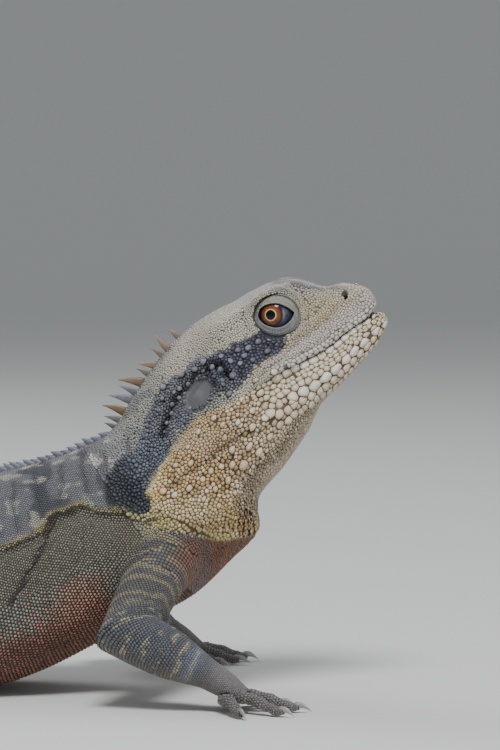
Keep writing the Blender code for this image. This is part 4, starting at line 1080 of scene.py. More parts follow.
def row_points(tube, number, start, end, pitch, turns=(0.0, 1.0), **looks):
    """Even rows round a tube, or round part of its turn, each row shifted by half a scale."""
    columns = tube.rings.shape[1]
    around = np.arange(-columns, columns + 1)
    i_all, j_all, pitch_all = [], [], []
    i, row, count = float(start), 0, None
    rng = np.random.default_rng(number)
    while i < end:
        ring = tube.at(np.full(len(around), i), around)
        ahead = tube.at(np.full(len(around), min(i + 1, len(tube.rings) - 1.0)), around)
        spacing = np.median(np.linalg.norm(ahead - ring, axis=1)) + 1e-6
        length = lengths(ring)
        low, high = np.interp(np.array(turns) * columns, around, length)
        if count is None:
            count = max(4, round((high - low) / pitch))
        step = (high - low) / count
        at = low + (np.arange(count) + 0.5 * (row % 2) + 0.25 + rng.uniform(-0.13, 0.13, count)) * step
        shift = rng.uniform(-0.12, 0.12, count) * step / spacing
        i_all.append(np.clip(i + shift, 0, len(tube.rings) - 1))
        j_all.append(np.interp(at, length, around) % columns)
        pitch_all.append(np.full(count, step))
        i += max(step * 0.82 / spacing, 0.02)
        row += 1
    if not i_all:
        return Points(number, [], [], 1.0)
    return Points(number, *(np.concatenate(k) for k in (i_all, j_all, pitch_all)), **looks)


SCATTER_END = SHOULDER + 12      # from here back the body's scales stand in rows
HEAD_WAY = np.array([-math.cos(HEAD_PITCH), 0.0, -math.sin(HEAD_PITCH)])
NEIGHBOURS = [(x, y, z) for x in (-1, 0, 1) for y in (-1, 0, 1) for z in (-1, 0, 1)]


def scatter_points(tube, number, start, end, looks_at, rng, taken):
    """Roots spread evenly but without rows over rings start to end, clear of roots already taken."""
    rings = tube.rings[start:end + 1]
    across = np.roll(rings, -1, 1) - rings
    area = np.linalg.norm(np.cross(across[:-1], rings[1:] - rings[:-1]), axis=-1)
    pitch, longer, rise = looks_at(rings[:-1].reshape(-1, 3))
    weight = area.ravel() / pitch ** 2
    total = int(weight.sum() * 7)
    cell = rng.choice(len(weight), total, p=weight / weight.sum())
    i = start + cell // rings.shape[1] + rng.random(total)
    j = cell % rings.shape[1] + rng.random(total)
    place = tube.at(i, j)
    radius, longer, rise = pitch[cell] * rng.uniform(0.70, 0.90, total), longer[cell], rise[cell]
    clear = np.ones(total, bool)
    for spot, way, length, width in taken:
        d = place - spot
        near = np.flatnonzero(np.abs(d).max(1) < length + 1.5)
        d, r = d[near], radius[near]
        u = d @ way
        w = np.sqrt(np.maximum(np.sum(d * d, 1) - u * u, 0))
        clear[near] &= (u / (length / 2 + 0.56 * r)) ** 2 + (w / (width / 2 + 0.56 * r)) ** 2 > 1
    i, j, place, radius, longer, rise = (k[clear] for k in (i, j, place, radius, longer, rise))
    size = (radius * longer).max()
    keys = np.floor(place / size).astype(int)
    grid, chosen = {}, []
    spots, reach, shape = place.tolist(), radius.tolist(), longer.tolist()
    wx, _, wz = HEAD_WAY.tolist()
    for k, (kx, ky, kz) in enumerate(keys.tolist()):
        x, y, z = spots[k]
        limit, squeeze = reach[k] ** 2, shape[k] ** 2
        free = True
        for ox, oy, oz in NEIGHBOURS:
            for q in grid.get((kx + ox, ky + oy, kz + oz), ()):
                dx, dy, dz = spots[q][0] - x, spots[q][1] - y, spots[q][2] - z
                s = (dx * wx + dz * wz) ** 2
                if (dx * dx + dy * dy + dz * dz - s) * squeeze + s / squeeze < limit:
                    free = False
                    break
            if not free:
                break
        if free:
            grid.setdefault((kx, ky, kz), []).append(k)
            chosen.append(k)
    chosen = np.array(chosen)
    return Points(number, i[chosen], j[chosen], radius[chosen] / 0.80, longer[chosen], rise[chosen])


def fine_jowl(px, py):
    """Below 1 in the oval of finer scales at the jowl's middle."""
    return np.hypot((px - 203) / 38, (py - 436) / 17)


def head_looks(p):
    """Spacing and length of the small scales over the head and neck."""
    a, b, c = head_place(p)
    px, py = side_view(p)
    looks = np.tile([[0.74], [1.0], [0.24]], len(p))

    def set_to(mask, *values):
        looks[:, mask] = np.array(values)[:, None]

    below = mouth_line(a) - c
    set_to(a < 52, 0.68, 1.0, 0.18)
    set_to((a < 30) & (below < 0), 0.72, 1.10, 0.17)
    set_to((a < 34) & (below < 0) & (below > -3.6), 0.84, 1.22, 0.14)
    set_to(a < 2, 1.0, 1.0, 0.16)
    set_to(from_eye(px, py) < 9.6, 0.55, 1.0, 0.2)
    jowl = (below > 0) & (fold_side(a, c) > 0)
    set_to(jowl, 1.16, 1.28, 0.22)
    set_to(jowl & (a > 60), 1.02, 1.16, 0.26)
    set_to(jowl & (a < 42) & (below < 12), 1.4, 1.35, 0.16)
    set_to(jowl & (fine_jowl(px, py) < 1), 0.84, 1.15, 0.2)
    set_to((inside(px, py, THROAT, 2) > 0.5) | ((np.abs(b) < 10) & (below > 8)), 0.84, 1.15, 0.24)
    set_to(inside(px, py, BAND, 2) > 0.5, 0.86, 1.08, 0.36)
    set_to(inside(px, py, BAND_EYE, 2) > 0.5, 1.0, 1.3, 0.3)
    set_to(inside(px, py, PATCH, 2) > 0.5, 1.1, 1.0, 0.42)
    return looks


# Rows of scutes along the lower jaw: how far down the jaw's side, length and width; and on the
# upper lip: how far above the mouth, length and width
JAW_ROWS = [(0.10, 3.0, 1.5), (0.235, 1.8, 0.85), (0.34, 2.0, 1.0), (0.475, 2.4, 1.3), (0.68, 4.2, 2.1),
            (0.88, 2.9, 1.6), (1.06, 2.3, 1.4)]
WHITE_ROWS = (0.10, 0.68)
LIP_ROWS = [(0.75, 1.9, 1.15), (1.85, 1.5, 0.95)]
# Single white scutes on the jowl, then grey tubercles round the ear, all in photo pixels: place,
# length and width in millimetres
JOWL_SCUTES = [(275, 372, 2.7, 1.5), (271, 406, 3.0, 1.5), (252, 409, 2.6, 1.4),
               (264, 417, 3.1, 1.6), (251, 426, 2.9, 1.4), (248, 444, 3.0, 1.5),
               (261, 451, 3.2, 1.7), (233, 448, 2.6, 1.3), (244, 465, 3.0, 2.2),
               (232, 463, 1.9, 1.4), (223, 465, 1.8, 1.3), (211, 470, 1.8, 1.3),
               (229, 479, 2.3, 1.3), (204, 477, 1.5, 1.2), (193, 461, 1.7, 1.2),
               (285, 386, 2.6, 1.4), (262, 392, 2.4, 1.3), (238, 421, 2.2, 1.2),
               (226, 436, 2.0, 1.2), (283, 402, 2.4, 1.3), (270, 436, 2.2, 1.3),
               (276, 424, 2.2, 1.3), (216, 488, 1.7, 1.2), (204, 497, 1.6, 1.2),
               (190, 486, 1.7, 1.3), (176, 492, 1.9, 1.4), (165, 488, 2.0, 1.5),
               (220, 505, 1.6, 1.1), (235, 492, 1.6, 1.1), (292, 400, 2.6, 1.4),
               (214, 418, 1.8, 1.1), (200, 430, 1.8, 1.1), (222, 424, 1.9, 1.1),
               (188, 444, 1.7, 1.1), (178, 462, 1.6, 1.2), (295, 375, 2.4, 1.4),
               (287, 366, 2.3, 1.3), (256, 380, 2.0, 1.1), (243, 398, 2.0, 1.1)]
EAR_TUBERCLES = [(205.5, 362, 2.4, 1.5), (194, 369, 2.0, 1.6), (202, 370, 1.2, 1.0),
                 (212.5, 368, 1.8, 1.4), (221.5, 369, 2.3, 1.9), (231.5, 375, 2.7, 1.9),
                 (230, 360, 2.0, 1.5), (223.5, 379.5, 1.6, 1.4), (224, 386, 1.3, 1.2),
                 (229, 392, 2.0, 1.4), (182, 375, 2.2, 1.6), (163.5, 388, 2.0, 1.8),
                 (188, 384, 1.4, 1.1), (182, 388, 1.7, 1.4), (181.5, 396.5, 1.2, 1.1),
                 (175, 403.5, 1.5, 1.3), (173.5, 393, 1.4, 1.1), (250, 349, 2.2, 1.4),
                 (238, 351, 2.0, 1.3), (243, 355, 2.2, 1.3), (259, 343, 2.2, 1.3),
                 (266, 350, 2.2, 1.2), (252, 359, 1.9, 1.2), (240, 364, 1.8, 1.2),
                 (171, 412, 1.3, 1.1), (163, 398, 1.4, 1.2), (158, 410, 1.3, 1.1),
                 (166, 421, 1.2, 1.0), (270, 340, 2.0, 1.1), (221, 357, 1.7, 1.2)]
FLANK_SPOTS = [(44, 619, 2.0), (38, 609, 1.7), (33, 600, 1.6), (31, 588, 1.5), (46, 637, 1.7),
               (4, 659, 1.9), (10, 664, 1.8), (19, 666, 1.7), (78, 600, 1.4), (74, 586, 1.3)]


def chosen_points(tube, number, side):
    """The scutes and tubercles that have places of their own, on one side."""
    grid = tube.rings
    a, b, c = head_place(grid)
    px, py = side_view(grid)
    this_side = (np.sign(b) == side) & (np.abs(b) > 1.0)
    spots = []
    rng = np.random.default_rng(11 + side)
    for share, length, width in JAW_ROWS:
        lengths = length * rng.uniform(0.82, 1.15, 40)
        la = np.cumsum(lengths * 0.90) - 2.0 - length * rng.random()
        depth = smooth([r[0] for r in HEAD], [r[6] + r[9] for r in HEAD], la)
        depth = np.minimum(depth, 11.0 + 0.12 * (depth - 11.0))
        lc = mouth_line(la) - depth * share + rng.uniform(-0.12, 0.12, 40)
        end = 41 if share > 0.3 else 36
        kind = WHITE if share in WHITE_ROWS else JAW
        for one, place, height, deep in zip(lengths[la < end], la, lc, depth):
            wide = width * min(1.2, deep / 9.0)
            spots.append((np.hypot(a - place, c - height), one, wide, 0.13, kind))
    for rise, length, width in LIP_ROWS:
        la = np.cumsum(length * rng.uniform(0.85, 1.0, 40)) - 2.0
        for place, height in zip(la[la < 33], mouth_line(la)):
            spots.append((np.hypot(a - place, c - height - rise), length, width, 0.14, LIP))
    for x, y, length, width in JOWL_SCUTES:
        spots.append((np.hypot(px - x, py - y) / PIXELS, length, width, 0.28, ROUND))
    for x, y, length, width in EAR_TUBERCLES:
        spots.append((np.hypot(px - x, py - y) / PIXELS, length * 0.9, width * 0.9, 0.42, TUBERCLE))
    made = []
    for off, length, width, rise, kind in spots:
        off = np.where(this_side & (tube.along[:, None] < SHOULDER + 20), off, 99)
        i, j = np.unravel_index(off.argmin(), off.shape)
        size = math.sqrt(length * width)
        made.append((i, j, size, length / size, rise, kind))
    i, j, size, longer, rise, kind = np.array(made).T
    return Points(number, i, j, size * SCUTE_PITCH, longer, rise, 10, kind)


def shares(tube, number, i, j):
    """How far along and around its tube a ring and column number is, and both as shares from 0 to 1.

    On the body, number 0, along is in millimetres and around runs from -1 to 1, with 0 on the back.
    """
    share, turn = i / (len(tube.rings) - 1), (j % tube.rings.shape[1]) / tube.rings.shape[1]
    if number:
        return share, turn, share, turn
    along = np.interp(i, np.arange(len(tube.along)), tube.along)
    return along, np.where(turn <= 0.5, turn * 2, (turn - 1) * 2), share, turn


def complete(roots, tubes):
    """Fills in where each root is on its tube: place, directions, shares and the unwrap."""
    count = len(roots.i)
    roots.place, roots.lie, roots.normal = (np.zeros((count, 3)) for _ in range(3))
    roots.along, roots.around, roots.uv = np.zeros(count), np.zeros(count), np.zeros((count, 2))
    for number, tube in enumerate(tubes):
        mine = roots.tube == number
        if not mine.any():
            continue
        i, j = roots.i[mine], roots.j[mine]
        roots.place[mine], roots.lie[mine] = tube.at(i, j), tube.at(i, j, tube.lie)
        roots.normal[mine] = tube.at(i, j, tube.out)
        roots.along[mine], roots.around[mine], share, turn = shares(tube, number, i, j)
        x, y, w, h = tube.island
        roots.uv[mine] = np.stack([x + w * share, y + h * turn], -1)


def flatten_lies(roots):
    """Turns each scale's way back square to its normal."""
    roots.lie = unit(roots.lie - roots.normal * np.sum(roots.lie * roots.normal, 1)[:, None])


def nearest_on_tubes(tubes):
    """Tube, ring and column numbers of every other point of the tubes, and a tree to find them by."""
    owner, spots = [], []
    for number, tube in enumerate(tubes):
        rows, columns = (np.arange(0, size, 2) for size in tube.rings.shape[:2])
        owner.append(np.stack([np.full((len(rows), len(columns)), number),
                               *np.meshgrid(rows, columns, indexing="ij")], -1).reshape(-1, 3))
        spots.append(tube.rings[::2, ::2].reshape(-1, 3))
    number, i, j = np.concatenate(owner).T
    return number, i, j, tree_of(np.concatenate(spots))


def mesh_points(mesh):
    """A mesh's points, as read_points gives them, and its normals."""
    normals = np.zeros(len(mesh.vertices) * 3)
    mesh.vertices.foreach_get("normal", normals)
    return read_points(mesh), normals.reshape(-1, 3)


def ring_at(tube, along):
    """The number of the body's ring at a length along it."""
    return int(np.interp(along, tube.along, np.arange(len(tube.along))))


def body_roots(body, rng):
    """Groups of roots on the body: single scutes, scattered scales over head and neck, then rows."""
    groups, taken = [], []
    for side in (-1, 1):
        scutes = chosen_points(body, 0, side)
        groups.append(scutes)
        place, way = body.at(scutes.i, scutes.j), body.at(scutes.i, scutes.j, body.lie)
        size = scutes.pitch / SCUTE_PITCH
        taken += list(zip(place, unit(way), size * scutes.longer, size / scutes.longer))
    groups.append(scatter_points(body, 0, 0, ring_at(body, SCATTER_END), head_looks, rng, taken))
    # The trunk's back and flanks above, the wider scales of the belly below
    trunk = [ring_at(body, SCATTER_END + k * (VENT - SCATTER_END) / 5) + 0.7 for k in range(6)]
    for (start, end), above, below in zip(spans(trunk), (0.84, 0.86, 0.9, 0.95, 0.95),
                                          (0.96, 1.04, 1.2, 1.28, 1.28)):
        for pitch, turns, rise in ((above, (-0.27, 0.27), 0.30), (below, (0.27, 0.73), 0.26)):
            groups.append(row_points(body, 0, start, end, pitch, turns, sides=PLAIN_SIDES, rise=rise))
    for (start, end), pitch in zip(spans([0, 60, 120, 200, 280, 360, 440, 514]),
                                   (1.1, 1.15, 1.2, 1.25, 1.3, 1.3, 1.3)):
        groups.append(row_points(body, 0, ring_at(body, VENT + start) + 0.5, ring_at(body, VENT + end),
                                 pitch, sides=PLAIN_SIDES, rise=0.28, longer=1.12))
    return groups


def limb_roots(tube, number):
    """Groups of roots in rows on a length of a limb."""
    last = len(tube.rings) - 1
    if "digit" in tube.name:
        return [row_points(tube, number, 2, last - 0.5, 1.15, rise=0.26, longer=1.1)]
    if "sole" in tube.name:
        return [row_points(tube, number, 0.5, last, 1.3, rise=0.24)]
    if "arm" in tube.name:
        stops, pitch, looks = (0.25, 0.5, 0.7), 1.02, {"rise": 0.28}
    else:
        stops, pitch, looks = (0.28, 0.56, 0.8), 1.2, {"rise": 0.26, "sides": PLAIN_SIDES}
    return [row_points(tube, number, start, end, pitch, **looks)
            for start, end in spans([2, *(last * stop for stop in stops), last])]


def place_roots(tubes, skin, skin_mesh, sizes):
    """All roots of scales, on the skin, with their directions."""
    groups = body_roots(tubes[0], np.random.default_rng(sizes.seed))
    for number, tube in enumerate(tubes[1:], 1):
        groups += limb_roots(tube, number)
    roots = Points.joined(groups)
    complete(roots, tubes)
    count, facing = len(roots.i), roots.normal
    # Onto the skin, leaving out roots that are inside another part of the animal
    off = np.zeros(count)
    normal = np.zeros((count, 3))
    before = roots.place.copy()
    points = [Vector(p) for p in (roots.place + SHIFT) / 1000]
    for k, point in enumerate(points):
        spot, way, _, distance = skin.find_nearest(point)
        off[k] = distance * 1000
        normal[k] = way
        roots.place[k] = np.array(spot) * 1000 - SHIFT
    agree = np.clip(np.sum(normal * facing, 1), 0, 1)[:, None] ** 3
    roots.normal = unit(normal * (1 - 0.65 * agree) + facing * 0.65 * agree)
    same_way = np.sum(normal * facing, 1) > 0.25
    roots.keep((off < sizes.skin_depth * 1000 + 0.5) & same_way & (before[:, 2] > 0.12))
    roots = Points.joined([roots, filled_gaps(roots, tubes, skin_mesh)])
    steady_normals(roots)
    flatten_lies(roots)
    roots = Points.joined([roots.keep(clear_of_openings(roots)), lid_roots(tubes)])
    flatten_lies(roots)
    return roots


def clear_of_openings(roots):
    """True for roots clear of the eyes' lids, the nostrils, the ears' drums and the mouth's line."""
    good = np.ones(len(roots.i), bool)
    for side in (-1, 1):
        centre = eye_centre(side)
        d = roots.place - centre
        near = (np.sign(roots.place[:, 1]) == side) & (np.abs(roots.place[:, 1] - centre[1]) < 8)
        good &= ~(near & (np.hypot(d[:, 0] / (LID_EDGE[0] + 0.1), d[:, 2] / (LID_EDGE[1] + 0.1)) < 1))
    a, b, c = head_place(roots.place)
    on_body = roots.tube == 0
    good &= np.hypot(a - NOSTRIL_AT[0], c - NOSTRIL_AT[1]) > NOSTRIL_RADIUS + 0.3
    good &= ~((ear_round(a, c) < 0.80) & (np.abs(b) > 10) & on_body & (roots.kind == PLAIN))
    good &= ~((np.abs(c - mouth_line(a)) < 0.34) & (a < MOUTH_CORNER) & on_body & (np.abs(b) > 3))
    return good


def steady_normals(roots):
    """Turns a normal that is far off its neighbours' to their mean."""
    spots = np.flatnonzero((roots.tube == 0) & (roots.along < SCATTER_END))
    tree = tree_of(roots.place[spots], spots)
    near = [[hit[1] for hit in tree.find_n(roots.place[k], 9)] for k in spots]
    mean = unit(np.array([roots.normal[ids].sum(0) for ids in near]))
    off = np.sum(mean * roots.normal[spots], 1) < 0.86
    roots.normal[spots[off]] = mean[off]


def filled_gaps(roots, tubes, mesh):
    """Roots for the skin that no row or scatter reached, such as where limbs meet the body."""
    points, normals = mesh_points(mesh)
    covered, nearest = tree_of(roots.place), nearest_on_tubes(tubes)
    chosen, added = [], {}
    last = ring_at(tubes[0], SCATTER_END - 10)
    for k, p in enumerate(points):
        if p[2] < 0.4 or covered.find(p)[2] < GAP_REACH:
            continue
        owner = nearest[3].find(p)[1]
        if nearest[0][owner] == 0 and nearest[1][owner] < last:
            continue
        key = kx, ky, kz = tuple(np.floor(p).astype(int))
        close = [q for x, y, z in NEIGHBOURS for q in added.get((kx + x, ky + y, kz + z), ())]
        if close and min(np.linalg.norm(q - p) for q in close) < GAP_REACH:
            continue
        added.setdefault(key, []).append(p)
        chosen.append(k)
    return roots_at(points[chosen], normals[chosen], 1.0, tubes, nearest)


def roots_at(places, normals, pitch, tubes, nearest, **looks):
    """Roots at given places, with what else they need from the nearest point of a tube."""
    numbers, i, j, tree = nearest
    owners = np.array([tree.find(p)[1] for p in places], int)
    made = Points(0, i[owners], j[owners], pitch, **looks)
    made.tube = numbers[owners]
    complete(made, tubes)
    made.place, made.normal = np.array(places), np.array(normals)
    return made


def fit_outlines(roots, sides):
    """How far each scale reaches in each direction before it meets its neighbours."""
    near, tree = 12, tree_of(roots.place)
    ids = np.array([[hit[1] for hit in tree.find_n(p, near + 1)][1:] for p in roots.place])
    half = roots.pitch * HALF_PITCH
    long_half, wide_half = half * roots.longer, half / roots.longer
    side_way = np.cross(roots.normal, roots.lie)
    gap = roots.place[ids] - roots.place[:, None]
    distance = np.linalg.norm(gap, axis=-1) + 1e-9

    def reach(lie, across, long_size, wide_size):
        x, y = np.sum(gap * lie, -1) / distance, np.sum(gap * across, -1) / distance
        return 1 / np.sqrt((x / long_size) ** 2 + (y / wide_size) ** 2 + 1e-9)

    own = reach(roots.lie[:, None], side_way[:, None], long_half[:, None], wide_half[:, None])
    other = reach(roots.lie[ids], side_way[ids], long_half[ids], wide_half[ids])
    plane = distance * own / (own + other)
    flat_x = np.sum(gap * roots.lie[:, None], -1)
    flat_y = np.sum(gap * side_way[:, None], -1)
    heading = np.arctan2(flat_y, flat_x)
    same = np.sum(roots.normal[ids] * roots.normal[:, None], -1) > -0.1
    made = {}
    for n in sorted(set(sides)):
        mine = np.flatnonzero(sides == n)
        long_size, wide_size = long_half[mine][:, None], wide_half[mine][:, None]
        best = np.full(len(mine), -1.0)
        angle, far = np.zeros((len(mine), n)), np.zeros((len(mine), n))
        # Of a few turns of the outline, the one that fills the most room
        for offset in (0.0, 0.25, 0.5, 0.75):
            turn = (np.arange(n) + offset) * 2 * math.pi / n
            way = np.arctan2(np.sin(turn) * wide_size, np.cos(turn) * long_size)
            cosine = np.cos(way[:, :, None] - heading[mine][:, None, :])
            meets = (cosine > 0.12) & same[mine][:, None, :]
            limit = np.where(meets, plane[mine][:, None, :] / np.maximum(cosine, 0.12), 99).min(-1)
            most = 1 / np.sqrt((np.cos(way) / long_size) ** 2 + (np.sin(way) / wide_size) ** 2)
            limit = np.minimum(limit, most * np.where(roots.kind[mine] > 0, 1.02, 1.25)[:, None])
            room = np.sum(limit * np.roll(limit, -1, 1) * np.sin(np.roll(way, -1, 1) - way), 1)
            better = room > best
            best[better], angle[better], far[better] = room[better], way[better], limit[better]
        made[n] = (mine, angle, far * 0.985)
    return made, side_way


def scale_colours(roots, tubes):
    """Crown and gap colours of all scales, each a little different from its neighbours."""
    crown, gap = np.zeros((len(roots.i), 3)), np.zeros((len(roots.i), 3))
    for number, tube in enumerate(tubes):
        mine = roots.tube == number
        if mine.any():
            crown[mine], gap[mine] = paint(roots.place[mine], tube.name, roots.along[mine],
                                           roots.around[mine], roots.normal[mine])
    rng = np.random.default_rng(23)
    kind, on_body = roots.kind, roots.tube == 0
    px, py = side_view(roots.place)
    a, _, c = head_place(roots.place)
    flank = inside(px, py, FLANK, 8) * on_body
    contrast = 0.14 + 0.34 * inside(px, py, BAND, 2) * on_body + 0.22 * flank
    crown *= 1 + contrast[:, None] * rng.uniform(-1, 1, (len(crown), 1))
    pale = (0.8 - 0.45 * blend(20, 42, a) + rng.uniform(-0.25, 0.15, len(a)))[:, None]
    for one, share, colour in ((WHITE, pale, (222, 217, 205)), (JAW, 0.3, (206, 194, 172)),
                               (LIP, 0.5, (186, 178, 172))):
        crown[kind == one] = (crown * (1 - share) + srgb(*colour) * share)[kind == one]
    white = kind == ROUND
    share = rng.uniform(0.15, 0.5, (len(crown), 1))[white]
    crown[white] = crown[white] * (1 - share) + srgb(226, 214, 190) * share
    # Pale tips on some of the jowl's scales
    jowl = (kind == PLAIN) * (fold_side(a, c) > 0) * (c < mouth_line(a)) * (a > 30) * on_body
    jowl = jowl * blend(0.8, 1.3, fine_jowl(px, py))
    share = (0.45 * jowl * (rng.random(len(a)) > 0.78))[:, None]
    crown = crown * (1 - share) + srgb(224, 214, 192) * share
    # The lids, with painted shade in the crease over the upper one and a pale margin below
    d = np.abs(roots.place - np.where(roots.place[:, 1:2] < 0, eye_centre(-1), eye_centre(1)))
    above = roots.place[:, 2] - eye_centre(1)[2]
    rim = np.hypot(d[:, 0] / LID_EDGE[0], d[:, 2] / LID_EDGE[1])
    lids = kind == LID
    upper = blend(-1.5, 0.5, above)[:, None]
    grey = srgb(144, 143, 134) * upper + srgb(134, 134, 131) * (1 - upper)
    crown[lids] = (grey * rng.uniform(0.88, 1.12, (len(crown), 1)))[lids]
    gap[lids] = crown[lids] * 0.45
    # Painted shade in the crease over the upper lid
    crease = lids * bell(rim - 0.93, 0.05) * blend(-2.5, 0.5, above)
    crown *= 1 - 0.86 * crease[:, None]
    margin = (lids * bell(rim - 0.72, 0.10) * (1 - blend(-2.5, -1.0, above)))[:, None]
    crown = crown * (1 - 0.5 * margin) + srgb(150, 156, 170) * 0.5 * margin
    grey = kind == TUBERCLE
    crown[grey] = srgb(106, 108, 116) * rng.uniform(0.7, 1.25, (grey.sum(), 1))
    for x, y, size in FLANK_SPOTS:
        crown[(np.hypot(px - x, py - y) < size * 1.4) & on_body] = srgb(196, 128, 104)
    return crown, gap


def beads(roots, who, turn, far, side_way, light, dark, first):
    """Closed beads for scales with one number of sides: points, faces, tints, levels and unwrap."""
    n = turn.shape[1]
    room = (far.mean(1) / (HALF_PITCH * roots.pitch[who]))[:, None, None]
    big = (roots.kind[who] > PLAIN)[:, None, None]
    pitch = np.where(roots.kind[who] > PLAIN, roots.pitch[who], np.minimum(roots.pitch[who], 1.6))
    lie, across, up = roots.lie[who][:, None], side_way[who][:, None], roots.normal[who][:, None]
    flat = lie * (np.cos(turn) * far)[..., None] + across * (np.sin(turn) * far)[..., None]
    h = (roots.rise[who] * pitch)[:, None, None] * np.clip(room * 1.35, 0, 1)
    root = roots.place[who][:, None]
    top = root + lie * 0.12 * roots.pitch[who][:, None, None] + up * h
    k = np.arange(n)
    nxt = (k + 1) % n
    if n == PLAIN_SIDES:
        # Plain peaks
        layers, rings = 1, [root + flat - up * 0.06]
        # The foot takes mostly the gap colour, partly the skin's own darker colour and partly painted
        # shade between scales; the peak's crown colour lifted by 1.22 is a painted highlight
        colours = [np.repeat(dark * 0.72 + light * 0.28, n, 1), light * 1.22]
        level, spread = [0.0], [1.0]
    else:
        # A shoulder below a flat crown
        lean = np.where(big, 0.78, 0.66) + 0.24 * np.cos(turn)[..., None]
        shoulder = root + flat * np.where(big, 0.93, 0.88) + up * h * lean
        layers, rings = 2, [root + flat - up * 0.22, shoulder]
        soft = np.where(big, 0.93, 0.84)
        middle = dark * (1 - soft) + light * soft
        # The foot takes the gap colour, partly the skin's own and partly painted shade; the crown colour
        # lifted by 1.04 is a painted highlight
        colours = [np.repeat(dark, n, 1), np.repeat(middle, n, 1), light * 1.04]
        level, spread = [0.0, 0.75], [1.0, 0.6]
    size = layers * n + 1
    first = first + np.arange(len(who))[:, None] * size
    low = (layers - 1) * n
    tris = np.stack([low + k, low + nxt, np.full(n, size - 1)], -1)
    faces = [(first[:, None] + tris[None]).reshape(-1, 3), first + k[::-1][None]]
    if layers == 2:
        quads = np.stack([k, nxt, n + nxt, n + k], -1)
        faces.insert(0, (first[:, None] + quads[None]).reshape(-1, 4))
    points = np.concatenate([*rings, top], 1).reshape(-1, 3)
    tints = np.clip(np.concatenate(colours, 1), 0, 1).reshape(-1, 3)
    levels = np.tile(np.concatenate([np.repeat(level, n), [1.0]]), len(who))
    ways = np.concatenate([turn] * layers + [turn[:, :1]], 1)
    spread = np.concatenate([np.repeat(spread, n), [0.0]]) * 0.0014
    uv = roots.uv[who][:, None] + np.stack([np.cos(ways), np.sin(ways)], -1) * spread[None, :, None]
    return points, faces, tints, levels, uv.reshape(-1, 2)


def scale_meshes(roots, tubes, regions, material):
    """Builds the coat pieces: one closed bead for each root, sunk in the skin."""
    crown, gap = scale_colours(roots, tubes)
    fits, side_way = fit_outlines(roots, roots.sides)
    made = []
    for name, mask in regions.items():
        groups, total = [], 0
        for mine, angle, reach in fits.values():
            pick = mask[mine]
            who, turn, far = mine[pick], angle[pick], reach[pick]
            wide = far.mean(1) / (HALF_PITCH * roots.pitch[who]) > 0.30     # leaves out slivers
            who, turn, far = (k[wide] for k in (who, turn, far))
            if len(who):
                groups.append(beads(roots, who, turn, far, side_way, crown[who][:, None],
                                    gap[who][:, None], total))
                total += len(groups[-1][0])
        if not total:
            continue
        points, faces, tints, levels, uv = zip(*groups)
        obj = mesh_object(name, np.concatenate(points), sum(faces, []))
        set_values(obj.data, "tint", np.concatenate(tints))
        set_values(obj.data, "level", np.concatenate(levels), "FLOAT")
        layer = obj.data.uv_layers.new(name="OFBake")
        loops = np.zeros(len(obj.data.loops), np.int32)
        obj.data.loops.foreach_get("vertex_index", loops)
        layer.data.foreach_set("uv", np.concatenate(uv)[loops].astype(np.float32).ravel())
        obj.data.materials.append(material)
        made.append(obj)
    return made


# Materials

BUMP_DEPTH = 0.0002     # metres


class Value:
    """A socket in a shader, with the usual sums."""

    def __init__(self, shader, socket):
        self.shader, self.socket = shader, socket

    def _math(self, operation, other):
        return self.shader.node("ShaderNodeMath", {"operation": operation}, {0: self, 1: other})

    def __add__(self, other):
        return self._math("ADD", other)

    def __mul__(self, other):
        return self._math("MULTIPLY", other)

    __radd__, __rmul__ = __add__, __mul__


class Shader:
    """A material under construction."""

    def __init__(self, name):
        self.material = bpy.data.materials.new(name)
        self.material.use_nodes = True
        self.tree = self.material.node_tree
        self.surface = self.tree.nodes["Principled BSDF"]

    def put(self, socket, value):
        """Sets a socket to a number, a colour or a link."""
        if isinstance(value, Value):
            self.tree.links.new(value.socket, socket)
        else:
            socket.default_value = value

    def node(self, kind, settings=None, sockets=None, output=0):
        """A node of a kind, with its settings made first and then its sockets."""
        node = self.tree.nodes.new(kind)
        for name, value in (settings or {}).items():
            setattr(node, name, value)
        for name, value in (sockets or {}).items():
            self.put(node.inputs[name], value)
        return Value(self, node.outputs[output])

    def set(self, **values):
        """Sets sockets of the surface by name, with underscores for spaces."""
        for name, value in values.items():
            self.put(self.surface.inputs[name.replace("_", " ")], value)

    def stored(self, name, output=0):
        """A value that the mesh stores."""
        return self.node("ShaderNodeAttribute", {"attribute_name": name}, None, output)

    def noise(self, scale, **more):
        """Noise over the object's own place."""
        place = self.node("ShaderNodeTexCoord", output=3)
        return self.node("ShaderNodeTexNoise", None, {"Vector": place, "Scale": scale, **more})

    def shaded(self, colour, shade):
        """A colour made darker or lighter by a number."""
        grey = self.node("ShaderNodeCombineColor", None, {0: shade, 1: shade, 2: shade})
        return self.node("ShaderNodeMix", {"data_type": "RGBA", "blend_type": "MULTIPLY"},
                         {0: 1.0, 6: colour, 7: grey}, 2)

    def bump(self, strength, height):
        """A normal bent by a fine relief."""
        return self.node("ShaderNodeBump", None,
                         {"Strength": strength, "Distance": BUMP_DEPTH, "Height": height})


def skin_material(name, roughness, bump, grain):
    """Painted skin or scales: the mesh's own tint, with fine grain and a soft sheen."""
    shader = Shader(name)
    coarse, fine = shader.noise(grain, Detail=3.0, Roughness=0.6), shader.noise(grain * 7, Detail=2.0)
    shader.set(Base_Color=shader.shaded(shader.stored("tint"), coarse * 0.36 + 0.82),
               Roughness=coarse * 0.2 + roughness, Normal=shader.bump(bump, fine + coarse * 0.5),
               Specular_IOR_Level=0.42)
    return shader.material


